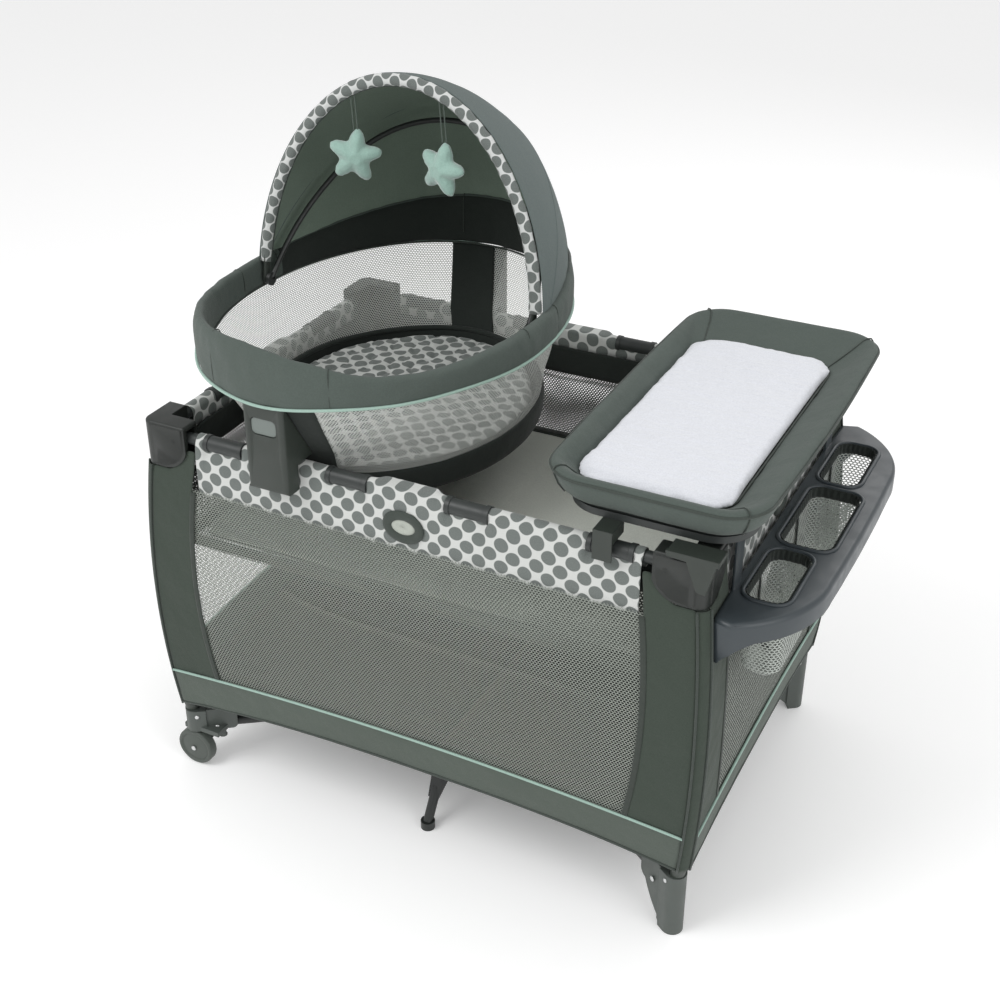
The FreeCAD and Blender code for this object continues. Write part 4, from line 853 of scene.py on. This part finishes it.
# ---------------------------------------------------------------- the mattress in the insert
def play_mattress():
    """Four stitched boards in one cover, whose pale colour is partly its own and partly painted light that offsets
    the shade it lies in.
    """
    x, y, low, high, radius = 449.0, 304.0, 490.0, 506.0, 30.0
    outline = rounded_loop(-x, x, -y, y, radius, 120)
    rings = [inset_loop(outline, inset, z) for inset, z in (
        (6, low), (1.5, low + 2), (0, low + 6), (0, high - 6), (1.5, high - 2), (6, high))]

    def quilt(c):
        fold = min(abs(c[0] - f) for f in (-225.0, 0.0, 225.0))
        dip = -2.6 * exp(-(fold / 5.0) ** 2) if c[2] > 498 else 0.0
        return 0, 0, dip + 0.7 * wrinkle((c[0], c[1], 0), 90.0, 5.0)
    pad("play_mattress", rings, "floor_pad", (2.0, 0.003, 0.009, 10), quilt,
        ("mattress", "mattress_fabric", "mattress"), finer=False)
    edge = rounded_loop(-x - 0.5, x + 0.5, -y - 0.5, y + 0.5, radius, 120, high - 4.0)
    place(strand("play_mattress_binding", edge, 2.0, "piping", closed=True), "mattress", "mattress_fabric",
          "mattress")


play_mattress()


# ---------------------------------------------------------------- bassinet
RIM_A, RIM_B, RIM_LOW, RIM_DIP, RIM_END = 297.0, 395.0, 838.0, 893.0, 940.0
SADDLE = RIM_B ** 2 / (2 * (RIM_END - RIM_DIP)) + (RIM_END - RIM_DIP) / 2
PIVOT_Y, PIVOT_Z = 12.0, 858.0
RIM_SEAMS = [radians(a) for a in (8, 62, 101, 172, 188, 248, 291, 352)]
# height, middle, half length and half width
BASKET_RINGS = ((668.0, BASE_X, 243.0, 298.0), (690.0, BASE_X, 245.0, 303.5), (730.0, BASE_X, 249.0, 316.0),
                (784.0, -216.5, 266.0, 349.0), (842.0, BAS_X, 284.5, 382.5))
TRAY_A, TRAY_B = 243.0, 298.0


def rim_top(y):
    return RIM_DIP + SADDLE - sqrt(SADDLE ** 2 - y * y)


def oval(angle, a, b, x=BAS_X):
    return x + a * cos(angle), b * sin(angle)


def seam_dip(angle):
    near = min(abs((angle - s + pi) % (2 * pi) - pi) for s in RIM_SEAMS)
    return exp(-(near * 350.0 / 3.0) ** 2)


def rim_droop(angle):
    """How far the soft front of the rim hangs down between the bracket and the right-hand pivot."""
    turned = (angle + pi) % (2 * pi) - pi
    return exp(-((turned + 0.95) / 0.52) ** 2)


def rim_height(angle, share):
    """The height of a point a given share of the way up the rim."""
    low = RIM_LOW + 7.0 * rim_droop(angle)
    return low + share * (rim_top(RIM_B * sin(angle)) - 33.0 * rim_droop(angle) - low)


def rim_spot(angle, out, z):
    """A point that stands out from the rim's oval."""
    normal = Vector((cos(angle) / RIM_A, sin(angle) / RIM_B, 0)).normalized()
    x, y = oval(angle, RIM_A, RIM_B)
    return x + normal.x * out, y + normal.y * out, z


def rim_cover():
    """The padded sleeve over the rim tube: outside, rolled top and inside, joined up into one closed ring."""
    profile = [(0.0, 0.00), (1.6, 0.10), (2.6, 0.30), (2.2, 0.55), (1.0, 0.78), (-1.2, 0.92), (-5.5, 0.99),
               (-10.5, 1.01), (-15.5, 0.985), (-19.6, 0.90), (-21.2, 0.72), (-21.8, 0.5), (-21.6, 0.28),
               (-20.6, 0.12), (-17.5, 0.06), (-10.0, 0.06), (-3.5, 0.03)]   # how far out, share of the way up

    def spot(a, index):
        out, share = profile[index]
        x, y = oval(a, RIM_A, RIM_B)
        z = rim_height(a, share)
        soft = 2.3 * wrinkle((x, y, z * 1.6), 48.0, 91.0) + 1.2 * wrinkle((x, y, z * 3), 20.0, 9.0)
        reach = out + (soft if 0.04 < share < 1 else 0.3 * soft) - 1.8 * seam_dip(a)
        crest = 2.2 * share ** 4 * wrinkle((x, y, 40.0), 34.0, 17.0) * (0.4 + 0.9 * rim_droop(a))
        return rim_spot(a, reach, z + crest)
    turns = turn(220)
    thing = surface("rim_cover", grid(spot, turns, range(len(profile))), ["rim", "lining"], round_u=True,
                    round_v=True, zone=lambda j, i: int(8 <= j <= 14 and 6 < i < 104))
    place(thing, "bassinet", "grey_fabric", "bassinet_rim_cover")
    line = [(*oval(a, RIM_A + 1.5, RIM_B + 1.5), RIM_LOW + 1.0 + 7.0 * rim_droop(a) + 1.2 * sin(9 * a))
            for a in turns]
    place(strand("rim_piping_mint", line, 2.6, "mint", closed=True), "bassinet", "star_plush", "bassinet_rim_cover")
    inner = [(*oval(a, RIM_A - 20.5, RIM_B - 20.5), RIM_LOW + 5.5 + 7.0 * rim_droop(a)) for a in turns]
    place(strand("rim_piping_inner", inner, 2.0, "piping", closed=True), "bassinet", "grey_fabric",
          "bassinet_rim_cover")
    for index, a in enumerate(RIM_SEAMS):
        path = [rim_spot(a, out - 1.2, rim_height(a, share)) for out, share in profile[1:13]]
        place(strand(f"rim_seam_{index}", path, 0.9, "piping", sides=6), "bassinet", "grey_fabric")


def basket_at(z):
    """The middle, half length and half width of the basket's wall at a height."""
    zs = [r[0] for r in BASKET_RINGS]
    return [float(np.interp(z, zs, [r[k] for r in BASKET_RINGS])) for k in (1, 2, 3)]


def basket_net():
    """The net wall of the basket, with a dark panel at the front and rear where the brackets hold it."""
    def spot(a, z):
        x, half_x, half_y = basket_at(z)
        soft = 1.2 * wrinkle((300 * cos(a), 300 * sin(a), z), 80.0, 15.0)
        return *oval(a, half_x - 1 + soft, half_y - 1 + soft, x), z
    points = grid(spot, turn(200), np.linspace(684.0, 843.0, 24))
    thing = surface("basket_net", points, "net_pale", round_u=True, smooth=0)
    sewn(place(thing, "bassinet", "net_fabric", "bassinet_basket"))
    for end, sy, out in (("front", -1, 2.6), ("rear", 1, -2.2)):
        def panel(u, z):
            x, half_x, half_y = basket_at(z)
            lean = (z - 668) / 174
            left, right = (-290.0, -156.0 + 10.0 * lean) if sy < 0 else (-257.0 - 40.0 * lean, -167.0 - 46.0 * lean)
            t = left + (right - left) * u
            c = max(-1.0, min(1.0, (t - x) / (half_x + 1.0)))
            return t, sy * (half_y + out) * sqrt(1 - c * c), z
        points = grid(panel, np.linspace(0, 1, 15)[::-sy], np.linspace(686.0, 842.0, 22))
        thing = surface(f"basket_panel_{end}", points, "lining", thick=1.6, smooth=0)
        sewn(place(thing, "bassinet", "grey_fabric", "bassinet_basket"))


def basket_base():
    """The padded ring round the tray at the bottom of the basket."""
    profile = [(-14.0, 640.5), (-4.0, 641.5), (2.0, 646.0), (5.0, 656.0), (6.4, 668.0), (7.0, 680.0), (6.0, 690.0),
               (3.0, 695.0), (-1.0, 694.0), (-2.5, 686.0), (-3.5, 676.0), (-9.5, 668.0), (-8.5, 650.0)]
    turns = turn(180)
    points = [[(*oval(a, TRAY_A + out + 0.5 * wrinkle((90 * cos(a), 90 * sin(a), z), 20.0, 4.0),
                      TRAY_B + out, BASE_X), z) for a in turns] for out, z in profile]
    thing = surface("basket_base", points, "lining", round_u=True, round_v=True)
    place(thing, "bassinet", "dark_plastic")
    welt = [(*oval(a, 239.5, 297.0, BASE_X), 695.0 + 1.5 * sin(5 * a)) for a in turns]
    place(strand("basket_welt", welt, 4.5, "lining", closed=True, sides=12), "bassinet", "grey_fabric")
    under = [[(*oval(a, (TRAY_A - 12) * k, (TRAY_B - 12) * k, BASE_X), 641.2) for a in turns]
             for k in (0.02, 0.35, 0.7, 1.0)]
    place(surface("basket_floor", under, "lining", round_u=True, thick=2.0, smooth=0), "bassinet", "dark_plastic",
          "bassinet_tray")


def bassinet_pad():
    """The quilted pad: dotted cloth with sewn wavy channels, and a fold across its middle."""
    rings = [[(*oval(a, 231.0 - inset, 286.0 - inset, BASE_X), z) for a in turn(160)] for inset, z in (
        (9, 650.0), (3, 652.0), (0, 657.0), (0, 679.0), (3.5, 685.5), (10, 688.0))]

    def quilt(c):
        if c[2] < 676:
            return 0, 0, 0
        wave, cross_wave = 9.0 * sin(c[1] / 46.0 * pi), 9.0 * sin(c[0] / 44.0 * pi)
        lane = abs(((c[0] + wave) / 44.0) % 1.0 - 0.5) * 44.0
        cross = abs(((c[1] + cross_wave) / 46.0) % 1.0 - 0.5) * 46.0
        dip = -3.0 * exp(-(lane / 4.2) ** 2) - 2.4 * exp(-(cross / 4.2) ** 2)
        fold = -2.5 * exp(-((c[0] + 190.0) / 3.0) ** 2)
        return 0, 0, dip + fold + 1.1 * wrinkle((c[0], c[1], 0), 26.0, 6.0)
    pad("bassinet_pad", rings, "dots", (2.5, 0.0035, 0.0065, 12), quilt,
        ("bassinet", "dotted_fabric", "bassinet_mattress"))


for build in (rim_cover, basket_net, basket_base, bassinet_pad):
    build()


# ---------------------------------------------------------------- canopy
CANOPY_A, CANOPY_H, BOW_A, BOW_H, BOW_CROWN, BOW_LEAN, MIDDLE_LEAN = 285.0, 391.0, 269.0, 380.0, 225.0, 7.0, 42.0


def hood_spot(t, lean, a=CANOPY_A, h=CANOPY_H, sag=0.0):
    """A point of the hood: t turns from one pivot over the crown to the other, lean is degrees back from upright."""
    reach = (h - sag) * cos(t)
    lean = radians(lean)
    return BAS_X + (a - sag * 0.4) * sin(t), PIVOT_Y + reach * sin(lean), PIVOT_Z + reach * cos(lean)


def hood_end(t):
    """The lean at which the hood meets the top of the rim."""
    low, high = 30.0, 89.0
    for _ in range(30):
        lean = (low + high) / 2
        _, y, z = hood_spot(t, lean)
        low, high = (lean, high) if z > rim_top(min(y, RIM_B - 1)) - 4.0 else (low, lean)
    return low


def hood():
    """One continuous cloth from the front bow, over the middle bow, down to the rim, gathered a little where it
    meets the rim.
    """
    limit = pi / 2 - 0.075
    cols = [(t, hood_end(t)) for t in np.linspace(-limit, limit, 101)]

    def spot(col, v):
        t, end = col
        lean = BOW_LEAN + 0.6 + (end - BOW_LEAN - 0.6) * v
        before = max(0.0, sin(pi * min(1.0, (lean - BOW_LEAN) / (MIDDLE_LEAN - BOW_LEAN))))
        after = max(0.0, sin(pi * max(0.0, (lean - MIDDLE_LEAN) / (end - MIDDLE_LEAN + 1e-6))))
        sag = (3.5 * before + 2.5 * after) * cos(t) + 1.0
        sag -= 1.6 * wrinkle((180 * t, 4.0 * lean, 0), 70.0, 21.0) * sin(pi * min(1.0, 0.1 + v))
        gather = 1.3 * sin(t * 58.0) * max(0.0, v - 0.82) / 0.18 + 9.0 * max(0.0, (v - 0.86) / 0.14) ** 1.5
        return hood_spot(t, lean, sag=sag + gather)
    thing = surface("hood", grid(spot, cols, np.linspace(0, 1, 45)), ["hood", "hood_in"], thick=2.0, offset=1.0)
    thing.modifiers["cloth"].material_offset = 1
    thing.modifiers["cloth"].material_offset_rim = 0
    sewn(place(thing, "canopy", "grey_fabric", "canopy_fabric"))
    ridge = [hood_spot(t, MIDDLE_LEAN, sag=-1.2) for t, end in cols if end > MIDDLE_LEAN + 1]
    place(strand("hood_ridge", ridge, 1.7, "hood", sides=6), "canopy", "grey_fabric")
    place(strand("hood_hem", [hood_spot(t, end - 0.6, sag=-0.5) for t, end in cols], 2.4, "piping"), "canopy",
          "grey_fabric")


def bow_sleeve():
    """The printed sleeve on the front bow, gathered a little along its length, and the plastic ends with rivets."""
    limit = pi / 2 - 0.085
    turns = np.linspace(-limit, limit, 180)
    path = [hood_spot(t, BOW_LEAN, BOW_A + 2, BOW_H + 1) for t in turns]
    radii = [10.8 + 0.5 * sin(t * 70) + 0.35 * sin(t * 31) for t in turns]
    thing = strand("bow_sleeve", path, radii, "bow_dots", sides=14, up=(0, 1, 0.1), flat=0.8)
    place(thing, "bow_front", "dotted_fabric", "canopy_bow_front")
    seam = [Vector(hood_spot(t, BOW_LEAN, BOW_A - 8, BOW_H - 9)) + Vector((0, 2.0, 0))
            for t in np.linspace(-limit, limit, 120)]
    place(strand("bow_seam", seam, 2.2, "piping"), "bow_front", "grey_fabric", "canopy_bow_front")
    lean = radians(BOW_LEAN)
    for side, sign in (("left", -1), ("right", 1)):
        x = BAS_X + sign * 268.0
        end = [(x, PIVOT_Y + k * sin(lean), PIVOT_Z + k * cos(lean)) for k in (-9, -4, 4, 16, 34, 58)]
        shoe = strand(f"bow_shoe_{side}", end, [6.0, 10.5, 11.0, 9.5, 8.5, 7.2], "plastic", sides=16, flat=0.45,
                      up=(1, 0, 0))
        place(shoe, "bow_front", "dark_plastic", "canopy_bow_front")
        at = (x - sign * 4.4, PIVOT_Y + 34 * sin(lean), PIVOT_Z + 42)
        place(dome(f"bow_rivet_{side}", at, (-sign, 0, 0), 3.6, 1.8, "steel"), "bow_front", "dark_plastic")


def star_outline(angle, reach):
    """A plump five-pointed star's edge."""
    wave = cos(5 * (angle - pi / 2))
    return reach * (0.80 + 0.19 * wave + 0.01 * cos(10 * (angle - pi / 2)))


def stars():
    lean = radians(BOW_LEAN)
    for name, offset, yaw, roll in (("left", -94.0, 0.42, -0.16), ("right", 76.0, -0.22, -0.22)):
        crown_z = PIVOT_Z + (BOW_H - BOW_CROWN + sqrt(BOW_CROWN ** 2 - offset ** 2)) * cos(lean)
        middle = Vector((BAS_X + offset, PIVOT_Y + (crown_z - PIVOT_Z) * tan(lean), 1097.0))

        def spot(a, ring):
            depth, share = ring
            r = star_outline(a, 52.0) * share
            p = Vector((r * cos(a + roll), depth, r * sin(a + roll)))
            return middle + Vector((p.x * cos(yaw) - p.y * sin(yaw), p.x * sin(yaw) + p.y * cos(yaw), p.z))
        rings = grid(spot, turn(90)[::-1], ((-13.0, 0.30), (-12.0, 0.60), (-8.0, 0.84), (0.0, 0.97), (8.0, 0.84),
                                            (12.0, 0.60), (13.0, 0.30)))
        pad(f"star_{name}", rings, "plush", (6.0, 0.006, 0.0035, 14, 8.0),
            lambda c: tuple(0.7 * wrinkle((c[0] + k * 40, c[1], c[2]), 9.0, 8.0 + k) for k in range(3)),
            ("stars", "star_plush", "hanging_stars"), axes=(0, 2))
        low = star_outline(pi / 2, 50.0) * 0.9
        path = [(middle.x - 22 * sin(roll) * (1 - k), middle.y, middle.z + low - 3
                 + k * (crown_z - 9 - middle.z - low)) for k in np.linspace(0, 1, 14)]
        for strap, shift in enumerate((-3.6, 3.6)):
            line = [(x + shift, y + 0.6 * strap, z) for x, y, z in path]
            ribbon = strand(f"ribbon_{name}_{strap}", line, 1.2, "ribbon", flat=0.35, up=(0, 1, 0))
            place(ribbon, "stars", "star_plush", "hanging_stars")
            tuple(to_frame(line[-1]))
            [tuple(to_frame(p)) for p in line]


for build in (hood, bow_sleeve, stars):
    build()


# ---------------------------------------------------------------- changing table
CH_X0, CH_X1, CH_Y = 225.0, 565.0, 350.0
CH_MIDDLE, CH_HALF = (CH_X0 + CH_X1) / 2, (CH_X1 - CH_X0) / 2
CHANGER_CORNERS = ((CH_X0, -CH_Y), (CH_X1, -CH_Y), (CH_X0, CH_Y), (CH_X1, CH_Y))


def changer_ring(left, right, front, rear, z, radius, bulge=0.0):
    """A loop that is set in from each edge of the table, its long sides bulging out a little."""
    loop = rounded_loop(CH_X0 + left, CH_X1 - right, -CH_Y + front, CH_Y - rear, radius, 220, z)
    share = (loop[:, :2] - (CH_MIDDLE, 0.0)) / (CH_HALF, CH_Y)
    loop[:, 0] += bulge * np.sign(share[:, 0]) * np.clip(1 - share[:, 1] ** 2, 0, 1) * (np.abs(share[:, 0]) > 0.55)
    return loop


def changer_cover():
    """The sling: soft outside, rolled rim and wide sloping inside walls, sewn at its corners."""
    levels = [(40, 40, 42, 42, 763.0, 58, 0), (26, 26, 28, 28, 764.5, 60, 0), (14, 14, 16, 16, 772.0, 62, 2),
              (6, 6, 7, 7, 788.0, 64, 4), (1, 1, 1, 1, 806.0, 66, 6), (0, 0, 0, 0, 812.5, 66, 7),
              (3.5, 3.5, 3.5, 3.5, 818.0, 64, 7), (10, 10, 10, 10, 819.0, 60, 6), (16, 17, 18, 18, 816.0, 56, 5),
              (22, 28, 25, 42, 808.0, 54, 3), (27, 42, 34, 70, 799.0, 52, 1), (31, 54, 42, 92, 791.5, 50, 0),
              (36, 60, 48, 104, 788.2, 48, 0)]
    points = []
    for left, right, front, rear, z, radius, bulge in levels:
        ring = changer_ring(left, right, front, rear, z, radius, bulge)
        outward = ring[:, :2] - inset_loop(ring, 1.0, z)[:, :2]
        for index, (x, y, _) in enumerate(ring):
            near = min(hypot(x - cx - copysign(16 + left * 0.8, CH_MIDDLE - cx),
                                  y - cy + copysign(16 + front * 0.8, cy)) for cx, cy in CHANGER_CORNERS)
            soft = 3.0 * wrinkle((x, y, z * 2.0), 75.0, 41.0) + 1.5 * wrinkle((x, y, z * 3), 26.0, 44.0)
            tug = -2.4 * exp(-(near / 5.0) ** 2)
            sag = -3.2 * exp(-(y / 160.0) ** 2) if 800 < z < 820 else 0.0
            ring[index, :2] += outward[index] * (soft * (0.9 if 770 < z < 812 else 0.3) + tug)
            ring[index, 2] += sag
        points.append(ring)
    thing = surface("changer_sling", points, "rim", round_u=True, thick=1.6)
    sewn(place(thing, "changer", "grey_fabric", "changer_cover"))
    shares = (0, 0.35, 0.7, 0.98)
    seat = [changer_ring(36 + k * 120, 60 + k * 95, 48 + k * 210, 104 + k * 170, 788.2, 48 - k * 30) for k in shares]
    under = [changer_ring(26 + k * 130, 26 + k * 130, 28 + k * 300, 28 + k * 300, 763.6, 60 - k * 40)[::-1]
             for k in shares]
    for name, rings in (("floor", seat), ("underside", under)):
        place(surface(f"changer_{name}", rings, "lining", round_u=True, thick=1.2, smooth=0), "changer",
              "grey_fabric", "changer_cover")
    rim = changer_ring(1.0, 1.0, 1.0, 1.0, 811.5, 66, 9)
    rim[:, 2] -= 3.2 * np.exp(-(rim[:, 1] / 160.0) ** 2)
    for name, ring, radius in (("rim", rim, 2.4), ("seat", changer_ring(36, 60, 48, 104, 790.5, 48), 1.8)):
        place(strand(f"changer_piping_{name}", ring, radius, "piping", closed=True), "changer", "grey_fabric")
    for index, (cx, cy) in enumerate(CHANGER_CORNERS):
        sx, sy = (1 if cx > CH_MIDDLE else -1), (1 if cy > 0 else -1)
        path = []
        for left, right, front, rear, z, radius, _ in levels[2:]:
            k = radius * (1 - sqrt(0.5)) - 0.5
            path.append((cx - sx * ((right if sx > 0 else left) + k), cy - sy * ((rear if sy > 0 else front) + k),
                         z + 0.8))
        place(strand(f"changer_seam_{index}", path, 1.3, "piping", sides=6), "changer", "grey_fabric")


def changer_pad():
    rings = [changer_ring(30 + inset, 56 + inset, 43 + inset, 98 + inset, z, 46) for inset, z in (
        (8, 788.6), (2, 790.0), (0, 793.5), (0, 797.0), (4, 800.0), (12, 801.0))]

    def soft(c):
        if c[2] < 795:
            return 0, 0, 0
        rib = 0.5 * sin(c[1] / 17.0 * 2 * pi)
        broad, fine = wrinkle((c[0], c[1] * 1.6, 0), 62.0, 77.0), wrinkle((c[0], c[1], 0), 18.0, 7.0)
        return 0, 0, rib + 2.6 * broad + 0.7 * fine
    pad("changing_pad", rings, "white", (2.5, 0.004, 0.0065, 12), soft,
        ("changer", "white_fabric", "changer_pad"))


changer_cover()
changer_pad()


# ---------------------------------------------------------------- organizer nets
POCKETS = {"front": (-272.0, -118.0), "middle": (-100.0, 100.0), "rear": (118.0, 272.0)}
ORG_NEAR, ORG_FAR, ORG_TOP, ORG_FLOOR = 526.0, 614.0, 640.0, 491.0
POCKET_RADIUS = 24.0


def pocket_loop(name, inset, z, count=120):
    low, high = POCKETS[name]
    far = ORG_FAR if name == "middle" else ORG_FAR - 18.0
    radius = max(6.0, POCKET_RADIUS - inset)
    return rounded_loop(ORG_NEAR + inset, far - inset, low + inset, high - inset, radius, count, z)


def pockets():
    for name, (low, high) in POCKETS.items():
        rings = []
        for k in np.linspace(0, 1, 22):
            bag = 1.0 + 2.5 * k - 0.5 * sin(pi * k) + 20 * max(0.0, k - 0.86) / 0.14
            ring = pocket_loop(name, bag, ORG_TOP - 2 - k * (ORG_TOP - ORG_FLOOR - 3))
            ring[:, 2] += np.sin(np.arange(len(ring)) / 7.0) * (1 - k)
            rings.append(ring)
        rings += [pocket_loop(name, 24 + 15 * k, ORG_FLOOR + 0.5) for k in (0.4, 0.75, 1.0)]
        net = surface(f"pocket_net_{name}", rings, "net_pocket", round_u=True, smooth=0)
        sewn(place(net, "organizer", "net_fabric", "organizer_pockets"))
        ruffle = []
        for drop, inset, height in ((-1.5, 2.0, 0.7), (3, 3.2, 1.3), (10, 3.6, 1.1), (17, 2.8, 0.6)):
            ring = pocket_loop(name, inset, ORG_TOP - drop, 240)
            wave = np.sin(turn(240) * 46) * height
            ring[:, :2] += (inset_loop(ring, 1.0, 0.0) - ring)[:, :2] * (wave + 0.8)[:, None]
            ruffle.append(ring)
        band = surface(f"pocket_elastic_{name}", ruffle, "lining", round_u=True, thick=1.0)
        sewn(place(band, "organizer", "net_fabric", "organizer_pockets"))
        rim = strand(f"organizer_rim_{name}", pocket_loop(name, -3.2, ORG_TOP + 0.6), 3.4, "blue", closed=True,
                     sides=12, flat=0.8)
        place(rim, "organizer", "blue_plastic")
        strap = [(ORG_NEAR + x, (low + high) / 2 + 14, z)
                 for x, z in ((3, ORG_TOP - 16), (4.5, 560), (8, 505), (30, 494))]
        place(strand(f"pocket_strap_{name}", strap, 5.0, "lining", flat=0.22, up=(1, 0, 0)), "organizer",
              "net_fabric")


pockets()


# ---------------------------------------------------------------- rivets and small trim
def rivets():
    for corner, (sx, sy) in CORNERS.items():
        inward = np.array([-sx * cos(DIAGONAL), -sy * sin(DIAGONAL)])
        across = np.array([-inward[1], inward[0]])
        for label, reach, height, radius in (("pivot", 38.0, 85.0, 5.2), ("upper", 2.0, 112.0, 4.2)):
            for face, letter in ((-1, "a"), (1, "b")):
                spot = np.array([sx * LEG_X, sy * LEG_Y]) + inward * reach + across * face * 19.0
                rivet = dome(f"rivet_{label}_{corner}_{letter}", (*spot, height), (*(across * face), 0), radius, 2.2,
                             "steel")
                place(rivet, f"leg_{corner}", "dark_plastic")
    for corner, sy in (("front_left", -1), ("rear_left", 1)):
        axle = dome(f"axle_head_{corner}", (-LEG_X, sy * 358.5, 38.0), (0, sy, 0), 5.0, 2.2, "steel")
        place(axle, f"leg_{corner}", "dark_plastic")


rivets()


# ---------------------------------------------------------------- floor and light
bpy.ops.mesh.primitive_plane_add(size=30, location=(0, 0, -0.0005))
ground = bpy.context.object
ground.name = "studio_floor"
backdrop = Nodes("studio_floor", 0.9, 0.0, 0.2)
ground.data.materials.append(backdrop.shade((0.95, 0.95, 0.95)))
backdrop.bsdf.inputs["Emission Color"].default_value = (1.0, 1.0, 1.0, 1.0)
backdrop.bsdf.inputs["Emission Strength"].default_value = 0.16

world = bpy.data.worlds.new("studio")
bpy.context.scene.world = world
world.use_nodes = True
world.node_tree.nodes["Background"].inputs[0].default_value = (1.0, 1.0, 1.0, 1.0)
world.node_tree.nodes["Background"].inputs[1].default_value = 0.72


def lamp(name, place_at, target, power, size):
    data = bpy.data.lights.new(name, "AREA")
    data.energy, data.size, data.shape = power, size, "DISK"
    thing = bpy.data.objects.new(name, data)
    bpy.context.scene.collection.objects.link(thing)
    thing.location = place_at
    thing.rotation_mode = "QUATERNION"
    thing.rotation_quaternion = (Vector(target) - Vector(place_at)).to_track_quat("-Z", "Y")


lamp("key", (-1.6, -2.4, 3.4), (0, 0, 0.5), 62.0, 2.2)
lamp("fill", (3.0, -1.4, 2.2), (0, 0, 0.6), 26.0, 2.4)
lamp("back", (0.6, 3.2, 2.8), (0, 0, 0.7), 22.0, 2.4)
